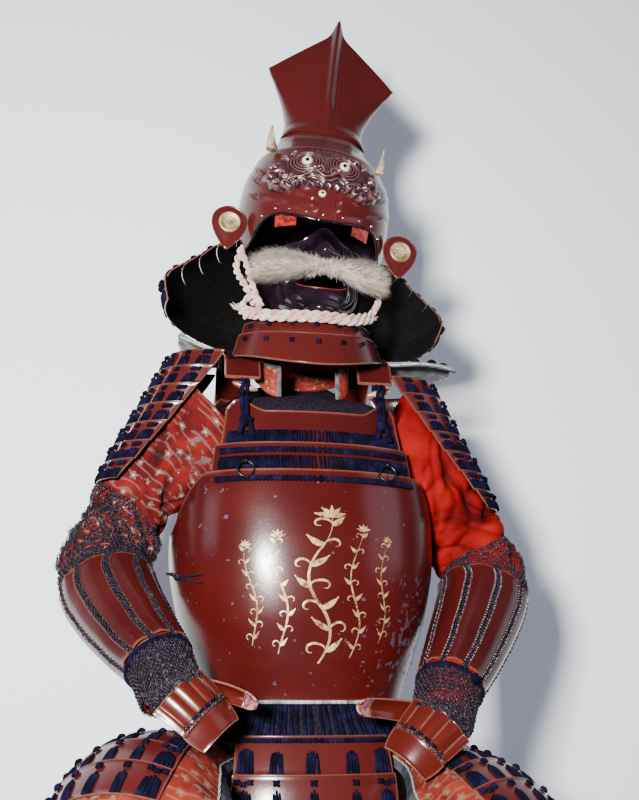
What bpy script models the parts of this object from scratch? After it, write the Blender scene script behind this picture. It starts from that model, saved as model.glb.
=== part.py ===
"""A suit of armour as it sits on display: helmet with a tall cap, face mask, cuirass with a laced
skirt, armoured sleeves, thigh guards and shin guards. Metres, +Z up, front towards -Y.
The origin lies between the shoulder straps, where a stand's crossbar carries the suit."""

import math

import bmesh
import bpy
from mathutils import Matrix, Vector

PLATE = 0.003          # lacquered plate, as thick as it looks at a rim
CLOTH = 0.002          # brocade with its lining
STEP = 0.003           # how far a lame's top edge stands out over the lame above
SEAM = 0.0007          # air between pieces that lie on each other
SIDES = (("right", -1), ("left", 1))   # the wearer's right is at -X

LACQUER = (0.23, 0.035, 0.025)
BLACK = (0.012, 0.010, 0.014)
NAVY = (0.010, 0.014, 0.070)
BROCADE = (0.45, 0.06, 0.04)
GREY = (0.16, 0.17, 0.19)
FUR = (0.50, 0.42, 0.33)
ROPE = (0.62, 0.38, 0.32)
CARVED = (0.075, 0.025, 0.030)
IRON = (0.03, 0.028, 0.028)
HORN = (0.30, 0.17, 0.08)


def clear_scene():
    for obj in list(bpy.data.objects):
        bpy.data.objects.remove(obj, do_unlink=True)


def collection(name):
    made = bpy.data.collections.new(name)
    bpy.context.scene.collection.children.link(made)
    return made


clear_scene()
SUIT = collection("suit_of_armour")
CUTTERS = collection("cutters")
MATERIALS = {}


def material(name, colour, roughness, metallic=0.0):
    made = bpy.data.materials.new(name)
    made.use_nodes = True
    shader = made.node_tree.nodes["Principled BSDF"]
    shader.inputs["Base Color"].default_value = (*colour, 1.0)
    shader.inputs["Roughness"].default_value = roughness
    shader.inputs["Metallic"].default_value = metallic
    MATERIALS[name] = made


material("red_lacquer", LACQUER, 0.25)
material("black_lacquer", BLACK, 0.15)
material("navy_braid", NAVY, 0.85)
material("red_brocade", BROCADE, 0.8)
material("grey_cloth", GREY, 0.9)
material("horsehair", FUR, 0.9)
material("silk_rope", ROPE, 0.75)
material("carved_wood", CARVED, 0.4)
material("iron", IRON, 0.4, 0.9)
material("horn", HORN, 0.35)


def row_at(rows, key):
    """The row of a table at a key that lies between its rows, on a smooth curve through them."""
    key = min(max(key, rows[0][0]), rows[-1][0])
    last = len(rows) - 2
    i = min(max(sum(row[0] <= key for row in rows) - 1, 0), last)
    before, a, b, after = rows[max(i - 1, 0)], rows[i], rows[i + 1], rows[min(i + 2, last + 1)]
    t = (key - a[0]) / (b[0] - a[0])
    out = []
    for p, q, r, s in zip(before, a, b, after):
        bend = (2 * p - 5 * q + 4 * r - s) * t * t + (3 * q - p - 3 * r + s) * t ** 3
        out.append(q + 0.5 * ((r - p) * t + bend))
    return out


def ease(t):
    t = min(max(t, 0.0), 1.0)
    return t * t * (3 - 2 * t)


def mix(a, b, t):
    return a + (b - a) * t


def bump(x, centre, width):
    return math.exp(-((x - centre) / width) ** 2)


def steps(first, last, count):
    return [mix(first, last, i / count) for i in range(count + 1)]


def power(value, exponent):
    return math.copysign(abs(value) ** exponent, value)


def grid_mesh(point, us, vs):
    """A grid whose corners are point(u, v); edges that meet, as round a tube or at a pole, are welded."""
    mesh = bmesh.new()
    across, along = len(us) - 1, len(vs) - 1
    bmesh.ops.create_grid(mesh, x_segments=across, y_segments=along, size=1)
    for vert in mesh.verts:
        i = round((vert.co.x + 1) / 2 * across)
        j = round((vert.co.y + 1) / 2 * along)
        vert.co = point(us[i], vs[j])
    bmesh.ops.remove_doubles(mesh, verts=mesh.verts, dist=1e-5)
    return mesh


def finish(name, mesh, finish_name, place=None):
    data = bpy.data.meshes.new(name)
    mesh.to_mesh(data)
    mesh.free()
    data.shade_smooth()
    data.set_sharp_from_angle(angle=math.radians(35))
    data.materials.append(MATERIALS[finish_name])
    obj = bpy.data.objects.new(name, data)
    if place:
        obj.matrix_world = place
    SUIT.objects.link(obj)
    return obj


def shell(name, point, us, vs, finish_name, inside, thick=PLATE, place=None):
    """A wall whose outer face runs through point(u, v) and whose thickness grows towards inside."""
    mesh = grid_mesh(point, us, vs)
    outward = sum(f.normal.dot(f.calc_center_median() - Vector(inside)) * f.calc_area() for f in mesh.faces)
    if outward < 0:
        bmesh.ops.reverse_faces(mesh, faces=mesh.faces)
    obj = finish(name, mesh, finish_name, place)
    wall = obj.modifiers.new("wall", "SOLIDIFY")
    wall.thickness = thick
    wall.offset = -1
    return obj


def loft(name, point, around, stations, finish_name, place=None):
    """A closed body through rings point(turn, station), with its two ends filled."""
    turns = [i / around for i in range(around + 1)]
    mesh = grid_mesh(point, turns, stations)
    bmesh.ops.holes_fill(mesh, edges=[e for e in mesh.edges if e.is_boundary], sides=0)
    bmesh.ops.recalc_face_normals(mesh, faces=mesh.faces)
    return finish(name, mesh, finish_name, place)


def tube(name, points, radius, finish_name, sides=2, fineness=3):
    """A round cord on a smooth curve through its points."""
    rows = [(i, *p) for i, p in enumerate(points)]
    fine = [row_at(rows, i / fineness)[1:] for i in range(fineness * (len(points) - 1) + 1)]
    curve = bpy.data.curves.new(name, "CURVE")
    curve.dimensions = "3D"
    curve.bevel_depth = radius
    curve.bevel_resolution = sides
    curve.use_fill_caps = True
    line = curve.splines.new("POLY")
    line.points.add(len(fine) - 1)
    for knot, p in zip(line.points, fine):
        knot.co = (*p, 1.0)
    curve.materials.append(MATERIALS[finish_name])
    obj = bpy.data.objects.new(name, curve)
    SUIT.objects.link(obj)
    return obj


def cut(obj, cutter):
    cutter.hide_render = True
    cutter.display_type = "WIRE"
    for holder in list(cutter.users_collection):
        holder.objects.unlink(cutter)
    CUTTERS.objects.link(cutter)
    boolean = obj.modifiers.new("opening", "BOOLEAN")
    boolean.object = cutter
    boolean.operation = "DIFFERENCE"


# Cuirass: a smooth front plate, a laced band and a chest plate above it, and one back plate.
# The trunk's outline, by height: half width, reach in front, reach behind.
TRUNK = (
    (-0.500, 0.137, 0.112, 0.104),
    (-0.450, 0.153, 0.131, 0.114),
    (-0.390, 0.171, 0.146, 0.121),
    (-0.320, 0.184, 0.152, 0.126),
    (-0.250, 0.184, 0.149, 0.128),
    (-0.195, 0.177, 0.140, 0.128),
    (-0.120, 0.164, 0.121, 0.122),
    (-0.040, 0.150, 0.098, 0.110),
)
TRUNK_SQUARE = 0.86        # below 1, a section is squarer than an ellipse
TRUNK_MID = (0.0, 0.0, -0.30)
SIDE_SEAM = 89.3           # degrees from the front where front and back plates meet
ARMPIT_Z = -0.275          # the plates' top edge under the arm
FRONT_TOP_Z = -0.197
BAND_Z = (-0.206, -0.157)
CHEST_Z = (-0.166, -0.090)
NECK_DIP = 0.020           # how far the chest plate's top edge dips under the throat
CHEST_CORNER = 47.0        # degrees from the front of the chest plates' side edges
BACK_TOP_Z = -0.045
FRONT_OUT = PLATE + 2 * SEAM     # the front plate laps over the band above it


def trunk(degrees, z, out=0.0):
    _, wide, front, back = row_at(TRUNK, z)
    s, c = math.sin(math.radians(degrees)), math.cos(math.radians(degrees))
    reach = front if c > 0 else back
    return Vector(((wide + out) * power(s, TRUNK_SQUARE), -(reach + out) * power(c, TRUNK_SQUARE), z))


def build_cuirass():
    def front_plate(degrees, v):
        top = mix(FRONT_TOP_Z, ARMPIT_Z, ease((abs(degrees) - 50) / 36))
        return trunk(degrees, mix(TRUNK[0][0], top, v), FRONT_OUT)

    angles = [-SIDE_SEAM, -80, -70, -60, -50] + steps(-40, 40, 8) + [50, 60, 70, 80, SIDE_SEAM]
    shell("cuirass_front", front_plate, angles, steps(0, 1, 7), "red_lacquer", TRUNK_MID)

    def chest_band(degrees, v):
        return trunk(degrees, mix(*BAND_Z, v), 0.0)

    chest_angles = [-CHEST_CORNER] + steps(-40, 40, 8) + [CHEST_CORNER]
    shell("chest_band", chest_band, [-50] + chest_angles[1:-1] + [50], (0, 0.5, 1), "red_lacquer", TRUNK_MID)

    def chest_plate(degrees, v):
        side = abs(degrees) / CHEST_CORNER
        dip = NECK_DIP * (1 - ease((side - 0.45) / 0.4)) + 0.012 * ease((side - 0.88) / 0.12)
        return trunk(degrees, mix(CHEST_Z[0], CHEST_Z[1] - dip, v), -PLATE - 1.3 * SEAM)

    shell("chest_plate", chest_plate, chest_angles, steps(0, 1, 3), "red_lacquer", TRUNK_MID)

    def back_plate(degrees, v):
        top = mix(BACK_TOP_Z, ARMPIT_Z, ease((abs(degrees - 180) - 44) / 34))
        return trunk(degrees, mix(TRUNK[0][0], top, v), FRONT_OUT)

    turns = [2 * 90 - SIDE_SEAM, 100, 112] + steps(124, 236, 8) + [248, 260, 180 + SIDE_SEAM]
    shell("cuirass_back", back_plate, turns, steps(0, 1, 7), "red_lacquer", TRUNK_MID)


# Shoulder straps: padded straps that run from the back plate over the shoulders.
STRAP_X = (0.072, 0.122)
STRAP_THICK = 0.006
# Height of the crest and the front end, as places along the strap's upper face: y, z.
STRAP_OVER = ((0.066, -0.004), (0.030, 0.006), (-0.010, 0.005), (-0.044, -0.010), (-0.064, -0.024),
              (-0.075, -0.052))
STRAP_BACK_Z = (-0.105, -0.072, -0.045)


def back_face(x, z, out):
    """The y of the back plate's outer face at a place across the back."""
    _, wide, _, back = row_at(TRUNK, z)
    return (back + out) * (1 - (abs(x) / (wide + out)) ** (1 / TRUNK_SQUARE * 2)) ** (TRUNK_SQUARE / 2)


def build_straps():
    for side, s in SIDES:
        lift = FRONT_OUT + STRAP_THICK + 3.6 * SEAM

        def strap(x, i, s=s):
            if i < len(STRAP_BACK_Z):
                z = STRAP_BACK_Z[i]
                return Vector((s * x, back_face(x, z, lift), z))
            y, z = STRAP_OVER[i - len(STRAP_BACK_Z)]
            return Vector((s * x, y, z))

        rows = list(range(len(STRAP_BACK_Z) + len(STRAP_OVER)))
        shell(f"shoulder_strap_{side}", strap, steps(*STRAP_X, 3), rows, "red_lacquer",
              (s * 0.1, 0.0, -0.1), STRAP_THICK)


# Shoulder wings: small padded leather flaps sewn to the straps' outer edges.
WING_PAD = 0.006
WING_START = STRAP_X[1] + SEAM
# How far each flap reaches and how high its tip stands.
WING_TIP = {"right": (0.184, 0.028), "left": (0.238, -0.002)}


def build_shoulder_wings():
    for side, s in SIDES:

        def flap(u, v, s=s, tip=WING_TIP[side]):
            x = mix(WING_START, tip[0], u)
            half = mix(0.030, 0.050, ease(u * 2)) * math.sqrt(max(1 - max(u - 0.45, 0) ** 2 * 2.6, 0.05))
            y = 0.004 + half * v
            z = 0.002 - 0.010 * v * v + tip[1] * u * u
            return Vector((s * x, y, z))

        shell(f"shoulder_wing_{side}", flap, steps(0, 1, 4), steps(-1, 1, 4), "grey_cloth",
              (s * 0.16, 0.0, -0.2), WING_PAD)


# Collar: a padded stand-up collar of brocade between the straps.
COLLAR = (0.0714, 0.083)       # reach to the sides and to the back
COLLAR_TALL = 0.044
COLLAR_THICK = 0.005


def build_collar():
    def band(degrees, v):
        a = math.radians(degrees)
        front = ease((math.cos(a) + 0.15) / 1.0)
        z = mix(-0.030, -0.078, front) + COLLAR_TALL * v
        lean = 0.0 if v < 0.99 else -0.0005
        return Vector((math.sin(a) * (COLLAR[0] + lean), -math.cos(a) * (COLLAR[1] + lean), z))

    shell("collar", band, steps(38, 322, 16), (0, 0.5, 1), "red_brocade", (0, 0, -0.04), COLLAR_THICK)


# Strap fittings: a horn toggle and a doubled cord hold each strap to the chest plate.
TOGGLE = (0.097, -0.0991, -0.0740)
STRAP_CORD_RUN = ((0.097, -0.0800, -0.0588), (0.097, -0.0842, -0.071), (0.0975, -0.0930, -0.084),
                  (0.098, -0.1015, -0.096), (0.097, -0.1078, -0.122), (0.096, -0.1140, -0.146))
TOGGLE_SIZE = (0.036, 0.010, 0.012)


def build_strap_fittings():
    for side, s in SIDES:

        def toggle(turn, v, s=s):
            a = 2 * math.pi * turn
            fat = math.sqrt(max(1 - (2 * v - 1) ** 2, 0.10))
            x = s * TOGGLE[0] + (v - 0.5) * TOGGLE_SIZE[0]
            y = TOGGLE[1] + 0.5 * TOGGLE_SIZE[1] * fat * math.cos(a)
            z = TOGGLE[2] + 0.5 * TOGGLE_SIZE[2] * fat * math.sin(a) + s * 0.25 * (v - 0.5) * TOGGLE_SIZE[0]
            return Vector((x, y, z))

        loft(f"strap_toggle_{side}", toggle, 8, steps(0, 1, 4), "horn")
        run = [(s * x, y, z) for x, y, z in STRAP_CORD_RUN]
        tube(f"strap_cord_{side}", run, 0.0052, "navy_braid", 1)


# Chest rings: an iron ring that swings in a staple on each side of the chest band.
RING_X, RING_Z = 0.098, -0.186
RING_RADIUS, RING_WIRE = 0.0115, 0.0016
STAPLE_HOLE, STAPLE_WALL = 0.0032, 0.0024
RING_SLACK = 0.0012
EYE_OUT = 0.0110           # from the chest band to the staple's eye


def build_rings():
    for side, s in SIDES:
        y_plate = -front_reach(RING_X, RING_Z, 0.0)
        y_eye = y_plate - EYE_OUT
        hang_z = RING_Z - 2 * RING_RADIUS
        y_low = -front_reach(RING_X, hang_z, FRONT_OUT) - 0.0052
        tilt = math.atan2(y_eye - y_low, RING_Z - hang_z)
        ring = torus(f"chest_ring_{side}", RING_RADIUS, RING_WIRE, 16, 6, SUIT)
        ring.matrix_world = (Matrix.Translation((s * RING_X, y_eye, RING_Z))
                             @ Matrix.Rotation(-tilt, 4, "X")
                             @ Matrix.Translation((0, 0, -RING_RADIUS - RING_SLACK))
                             @ Matrix.Rotation(math.radians(90), 4, "X"))
        staple = torus(f"chest_staple_{side}", STAPLE_HOLE + STAPLE_WALL / 2, STAPLE_WALL / 2, 10, 6, SUIT)
        staple.matrix_world = (Matrix.Translation((s * RING_X, y_eye, RING_Z))
                               @ Matrix.Rotation(math.radians(90), 4, "Y"))
        near, far = y_eye + STAPLE_HOLE * 1.2, y_plate - 0.0019
        bpy.ops.mesh.primitive_cylinder_add(vertices=10, radius=0.0026, depth=far - near,
                                            location=(s * RING_X, (near + far) / 2, RING_Z),
                                            rotation=(math.radians(90), 0, 0))
        post = bpy.context.object
        move_to(post, CUTTERS)
        post.hide_render = True
        post.display_type = "WIRE"
        join = staple.modifiers.new("post", "BOOLEAN")
        join.object = post
        join.operation = "UNION"


def torus(name, major, minor, around, sides, target):
    bpy.ops.mesh.primitive_torus_add(major_segments=around, minor_segments=sides, major_radius=major,
                                     minor_radius=minor)
    made = bpy.context.object
    made.name = made.data.name = name
    made.data.materials.append(MATERIALS["iron"])
    move_to(made, target)
    return made


def front_reach(x, z, out):
    """How far the trunk's front face reaches at a place across the chest."""
    _, wide, front, _ = row_at(TRUNK, z)
    return (front + out) * (1 - (abs(x) / (wide + out)) ** (2 / TRUNK_SQUARE)) ** (TRUNK_SQUARE / 2)


def move_to(obj, target):
    for holder in list(obj.users_collection):
        holder.objects.unlink(obj)
    target.objects.link(obj)


# Skirt: a band of lacing under the cuirass, and seven hanging panels of five lames each.
# The skirt's outline, by height: half width, reach in front, reach behind.
SKIRT = (
    (-0.780, 0.222, 0.196, 0.195),
    (-0.660, 0.197, 0.176, 0.168),
    (-0.600, 0.180, 0.162, 0.150),
    (-0.545, 0.160, 0.140, 0.128),
    (-0.505, 0.1375, 0.1125, 0.1045),
    (-0.488, 0.1375, 0.1125, 0.1045),
)
LACING_Z = (-0.548, -0.490)
LAMES = 5
LAME_TALL = 0.046
PANEL_TOP_Z = -0.541
PANEL_OUT = 0.0025
# The hanging panels: name, first and last degree from the front at the top edge.
HUNG_PANELS = (
    ("front", -35.5, 31),
    ("right_hip", -126, -84),
    ("left_hip", 84, 126),
    ("right_back", -177, -131),
    ("left_back", 131, 177),
)


def skirt(degrees, z, out=0.0):
    _, wide, front, back = row_at(SKIRT, z)
    s, c = math.sin(math.radians(degrees)), math.cos(math.radians(degrees))
    reach = front if c > 0 else back
    return Vector(((wide + out) * power(s, TRUNK_SQUARE), -(reach + out) * power(c, TRUNK_SQUARE), z))


def lame_lines(lames):
    """Places down a laced panel, in lames: each lame's top edge, and its foot just above the next one."""
    lines = []
    for i in range(lames):
        lines += [i, i + 0.90]
    return lines + [lames]


def lame_out(v, lames):
    """How far a laced panel stands out there: STEP at each lame's top edge, nothing at its foot."""
    i = min(int(v + 1e-6), lames - 1)
    return STEP * (1 - min((v - i) / 0.90, 1.0)) if v < lames - 1e-6 else 0.0


def build_skirt():
    def lacing(degrees, z):
        return skirt(degrees, z)

    shell("skirt_lacing", lacing, steps(-180, 180, 28), (LACING_Z[0], -0.526, -0.504, LACING_Z[1]), "navy_braid",
          (0, 0, -0.53), PLATE)
    for name, first, last in HUNG_PANELS:
        middle = (first + last) / 2

        def panel(degrees, v, name=name):
            if name == "front":
                degrees *= 1 - 0.045 * v
            return skirt(degrees, PANEL_TOP_Z - v * LAME_TALL, PANEL_OUT + lame_out(v, LAMES))

        mid = skirt(middle, -0.65)
        shell(f"tasset_{name}", panel, steps(first, last, 6 if name == "front" else 5), lame_lines(LAMES),
              "red_lacquer", (mid.x * 0.3, mid.y * 0.3, -0.65))


# Thigh guards: brocade aprons over the thighs, which bend down at the knees.
# The top line over the wearer's right thigh: place along it, x, y, z, half width, droop in degrees.
THIGH = (
    (0, -0.1245, -0.0770, -0.5508, 0.040, 62),
    (1, -0.166, -0.125, -0.5535, 0.064, 64),
    (2, -0.200, -0.180, -0.556, 0.098, 64),
    (3, -0.232, -0.235, -0.578, 0.118, 68),
    (4, -0.260, -0.285, -0.623, 0.122, 70),
    (5, -0.275, -0.313, -0.686, 0.118, 74),
    (6, -0.281, -0.324, -0.760, 0.112, 74),
    (7, -0.284, -0.329, -0.840, 0.112, 72),
)
THIGH_CROSS = ((0, 0.96, -0.28), (2, 0.88, -0.475), (4, 0.80, -0.60), (7, 0.78, -0.62))


# How far each side's thigh is moved at the knee, outwards and up.
THIGH_MOVE = {-1: Vector((0.010, 0.0, 0.018)), 1: Vector((-0.022, 0.0, -0.008))}
THIGH_SEAT = {-1: Vector((0.0, 0.0, 0.0004)), 1: Vector((0.0, 0.0, 0.0024))}


def thigh(s, u, along, out=0.0):
    """The cloth over a thigh: u runs from the outer edge, -1, to the inner one, 1."""
    _, x, y, z, half, droop = row_at(THIGH, along)
    near = row_at(THIGH, min(along + 0.05, 7))
    far = row_at(THIGH, max(along - 0.05, 0))
    down = Vector((near[1] - far[1], near[2] - far[2], near[3] - far[3])).normalized()
    _, cx, cy = row_at(THIGH_CROSS, along)
    cross = Vector((cx, cy, 0))
    cross = (cross - down * cross.dot(down)).normalized()
    up = down.cross(cross)
    if up.z + up.y * -0.5 < 0:
        up = -up
    angle = math.radians(droop)
    radius = half / math.sin(angle) + out
    centre = Vector((x, y, z)) - up * (half / math.sin(angle))
    p = centre + cross * (radius * math.sin(u * angle)) + up * (radius * math.cos(u * angle))
    moved = THIGH_MOVE[s] * ease(along / 2.5) + THIGH_SEAT[s] * max(0.0, 1 - along)
    return Vector((-s * (p.x - moved.x), p.y, p.z + moved.z))


THIGH_LAMES = 5
THIGH_PANEL = (0.55, 3.85)      # where the laced panel starts and ends along the thigh
THIGH_LINES = steps(-1, 1, 10)
PANEL_LINES = steps(-0.8, 0.4, 6)


def build_thighs():
    for side, s in SIDES:

        def cloth(u, v, s=s):
            wave = 0.0025 * math.cos(9 * u + 2.2 * v) * ease((v - 3.9) / 1.5) * ease((abs(u) - 0.2) / 0.3)
            return thigh(s, u, v, -abs(wave))

        inside = thigh(s, 0, 3.4, -0.10)
        shell(f"thigh_guard_{side}", cloth, THIGH_LINES, steps(0, 7, 11), "red_brocade", inside, CLOTH)

        def panel(u, v, s=s):
            along = mix(*THIGH_PANEL, v / THIGH_LAMES)
            return thigh(s, u, along, PLATE + 2 * SEAM + lame_out(v, THIGH_LAMES))

        shell(f"tasset_{side}", panel, PANEL_LINES, lame_lines(THIGH_LAMES), "red_lacquer",
              thigh(s, 0, 2.2, -0.10))


# Shin guards: splinted half tubes that stand under the thigh guards.
SHIN_Z = (-1.040, -0.770)
SHIN_SEAT = {"right": -0.0014, "left": 0.0010}
# Shape by height: radius, how far the front line leans back.
SHIN = ((-1.040, 0.044, 0.016), (-0.950, 0.052, 0.008), (-0.860, 0.057, 0.002), (-0.770, 0.058, 0.003))


def build_shins():
    for side, s in SIDES:
        front = thigh(s, 0, 6.4, -CLOTH - SEAM - SHIN_SEAT[side])

        def splints(degrees, z, s=s, front=front):
            _, radius, lean = row_at(SHIN, z)
            rib = 0.003 * abs(math.cos(math.radians(degrees * 3.6)))
            a = math.radians(degrees + s * 38)
            r = radius - 0.003 + rib
            facing = Vector((s * math.sin(math.radians(38)), -math.cos(math.radians(38)), 0))
            axis = front - facing * SHIN[-1][1]
            return Vector((axis.x + r * math.sin(a), axis.y + lean - r * math.cos(a), z))

        shell(f"shin_guard_{side}", splints, steps(-100, 100, 12), steps(*SHIN_Z, 4), "red_lacquer",
              (front.x - s * 0.036, front.y + 0.046, -0.9), PLATE)


# Arms: baggy sleeves from the shoulder over the elbow to the wrist.
# Shape: place along the arm, x, y, z, half width across the bend, half depth.
ARM = (
    (0, 0.1245, 0.000, -0.1060, 0.1008, 0.060),
    (1, 0.1560, 0.000, -0.136, 0.080, 0.060),
    (2, 0.1930, 0.003, -0.168, 0.067, 0.058),
    (3, 0.2290, 0.008, -0.214, 0.058, 0.055),
    (4, 0.2570, 0.012, -0.260, 0.058, 0.054),
    (5, 0.2740, 0.006, -0.305, 0.060, 0.055),
    (6, 0.2720, -0.022, -0.347, 0.060, 0.055),
    (7, 0.2560, -0.062, -0.381, 0.055, 0.051),
    (8, 0.2310, -0.114, -0.418, 0.047, 0.045),
    (9, 0.2060, -0.164, -0.453, 0.038, 0.037),
    (10, 0.1900, -0.194, -0.493, 0.035, 0.033),
)
# The sleeve's upper and forearm parts meet under the splints: where, and the gap between them, along the arm.
SLEEVE_SEAM, SLEEVE_GAP = 7, 0.014
LEFT_DROP = 0.024                       # how much lower the wearer's left shoulder sits
LEFT_WRIST = Vector((-0.044, -0.003, -0.034))   # how far that side's wrist lies from the mirror of the other


def arm_centre(s, along):
    _, x, y, z, _, _ = row_at(ARM, along)
    if s > 0:
        moved = LEFT_WRIST * ease((along - 5) / 5) - Vector((0.008 * bump(along, 3.2, 1.2), 0, 0))
        drop = LEFT_DROP * max(0.0, 1 - along / 5)
        return Vector((x + moved.x, y + moved.y, z + moved.z - drop))
    return Vector((-x, y, z))


def arm(s, degrees, along, out=0.0, stretch=0.0):
    """A place on a sleeve: 0 degrees is the outer side of the bend, -90 its front."""
    centre = arm_centre(s, along)
    tangent = (arm_centre(s, along + 0.1) - arm_centre(s, along - 0.1)).normalized()
    back = Vector((0, 1, 0))
    back = (back - tangent * back.dot(tangent)).normalized()
    outer = tangent.cross(back) * s
    _, _, _, _, wide, deep = row_at(ARM, along)
    a = math.radians(degrees)
    return (centre + outer * ((wide + out) * math.cos(a)) + back * ((deep + out) * math.sin(a))
            + tangent * stretch)


SPLINT_SPAN = (-218, 22)
SPLINTS = 6
SPLINT_ALONG = (6.05, 7, 8, 8.9)
CORD_ALONG = 9.0


def ridge(degrees):
    """How far a splint's middle stands out between its two edges."""
    part = (degrees - SPLINT_SPAN[0]) / (SPLINT_SPAN[1] - SPLINT_SPAN[0]) * SPLINTS
    return 0.0032 * (1 - abs(2 * (part % 1.0) - 1))


def build_arms():
    for side, s in SIDES:

        def sleeve(degrees, along, s=s):
            a = math.radians(degrees)
            upper = ease(along / 1.5) * (1 - ease((along - 5.2) / 1.0))
            fold = 0.003 * upper * math.sin(3 * a + 2.6 * along) * ease((along - 2.4) / 0.8)
            return arm(s, degrees, along, fold)

        upper_rows = [0, 0.7, 1.4, 2, 2.5, 3, 3.5, 4, 4.5, 5, 5.5, 6, SLEEVE_SEAM - SLEEVE_GAP]
        shell_round(f"sleeve_{side}", sleeve, 16, upper_rows, "red_brocade", s)
        shell_round(f"forearm_sleeve_{side}", sleeve, 16, [SLEEVE_SEAM, 8, 9, 10], "red_brocade", s)

        def splints(degrees, along, s=s):
            return arm(s, degrees, along, PLATE + 2 * SEAM + ridge(degrees))

        shell_arc(f"forearm_splints_{side}", splints, steps(*SPLINT_SPAN, 2 * SPLINTS),
                  SPLINT_ALONG, "red_lacquer", s)
        run = [arm(s, d, CORD_ALONG, 0.0028 + 1.8 * SEAM) for d in steps(60, 405, 14)]
        tube(f"wrist_cord_{side}", run, 0.0028, "navy_braid", 1, fineness=1)


def shell_round(name, point, around, rows, finish_name, s):
    """A sleeve: an open tube whose wall grows towards the arm."""
    mesh = grid_mesh(point, steps(0, 360, around), rows)
    centre = arm_centre(s, rows[len(rows) // 2])
    near = min(mesh.faces, key=lambda f: (f.calc_center_median() - centre).length)
    if near.normal.dot(near.calc_center_median() - centre) < 0:
        bmesh.ops.reverse_faces(mesh, faces=mesh.faces)
    obj = finish(name, mesh, finish_name)
    wall = obj.modifiers.new("wall", "SOLIDIFY")
    wall.thickness = CLOTH
    wall.offset = -1
    return obj


def shell_arc(name, point, us, vs, finish_name, s, thick=PLATE):
    """A plate on the arm: as a sleeve, but open along its under side."""
    mesh = grid_mesh(point, us, vs)
    centre = arm_centre(s, mix(vs[0], vs[-1], 0.5))
    near = min(mesh.faces, key=lambda f: (f.calc_center_median() - centre).length)
    if near.normal.dot(near.calc_center_median() - centre) < 0:
        bmesh.ops.reverse_faces(mesh, faces=mesh.faces)
    obj = finish(name, mesh, finish_name)
    wall = obj.modifiers.new("wall", "SOLIDIFY")
    wall.thickness = thick
    wall.offset = -1
    return obj


# Shoulder guards: laced lames that narrow towards the elbow.
# Shape: lame, height, outermost x, half width, half depth, degrees from there to the front corner.
SODE = (
    (0, -0.012, 0.200, 0.0771, 0.066, 90),
    (1, -0.036, 0.213, 0.075, 0.069, 90),
    (2, -0.064, 0.228, 0.075, 0.070, 87),
    (3, -0.092, 0.242, 0.074, 0.070, 83),
    (4, -0.120, 0.257, 0.074, 0.070, 79),
    (5, -0.148, 0.272, 0.074, 0.069, 73),
    (6, -0.174, 0.2832, 0.074, 0.068, 65),
    (7, -0.200, 0.2953, 0.074, 0.067, 54),
)
SODE_LAMES = 7
SODE_DROP = 0.026          # how much lower the guard on the wearer's left hangs
SODE_SPREAD = 0.0030        # and how much further out its foot stands


def sode(s, part, lame, out=0.0):
    """A place on a shoulder guard: part runs from its front edge, -1, over 0 outside, to its back edge."""
    _, z, outer, wide, deep, span = row_at(SODE, lame)
    a = math.radians(part * span)
    drop = SODE_DROP if s > 0 else 0.0
    outer += SODE_SPREAD * ease((lame - 3) / 4) if s > 0 else 0.0
    return Vector((s * (outer - wide + (wide + out) * power(math.cos(a), 0.85)),
                   0.002 + (deep + out) * power(math.sin(a), 0.85), z - drop))


def build_shoulder_guards():
    for side, s in SIDES:

        def guard(part, v, s=s):
            return sode(s, part, v, lame_out(v, SODE_LAMES))

        shell(f"shoulder_guard_{side}", guard, steps(-1, 1, 8), lame_lines(SODE_LAMES), "red_lacquer",
              (s * 0.13, 0.0, -0.12))


# Hands: a fluted plate over the back of the hand, a plate over the fingers, one over the thumb.
HAND_DIRECTION = Vector((0.66, -0.24, -0.58)).normalized()   # of the wearer's right hand
HAND_NORMAL = Vector((0.10, -0.85, 0.47)).normalized()
HAND_HALF = 0.043
HAND_LONG = 0.047
FINGER_LONG = 0.030
THUMB_HALF = 0.0145
THUMB_ROOT = -199                     # degrees round the wrist
THUMB_TIP = {"right": (-0.088, -0.216, -0.500), "left": (0.032, -0.216, -0.504)}
THUMB_SEAM = {"right": 1.3 * SEAM, "left": 0.7 * SEAM}
HAND_START = 0.004
HAND_LIFT = 0.0346          # from the wrist's middle to the plate over the back of the hand
HAND_BULGE = 0.020


def hand_frame(s):
    flip = Vector((-s, 1, 1))
    along = Vector(a * b for a, b in zip(HAND_DIRECTION, flip)).normalized()
    up = Vector(a * b for a, b in zip(HAND_NORMAL, flip))
    up = (up - along * up.dot(along)).normalized()
    return along, up, along.cross(up)


def hand_base(s):
    _, up, _ = hand_frame(s)
    return arm_centre(s, 10) + up * HAND_LIFT


def hand(s, u, reach, out=0.0):
    """A place on the back of the hand: u across it from -1 to 1, reach from the wrist."""
    along, up, across = hand_frame(s)
    fall = 0.55 * (reach / 0.10) ** 2 * 0.045
    droop = HAND_BULGE * u * u
    return hand_base(s) + along * reach + across * (HAND_HALF * u) + up * (out - fall - droop)


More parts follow.
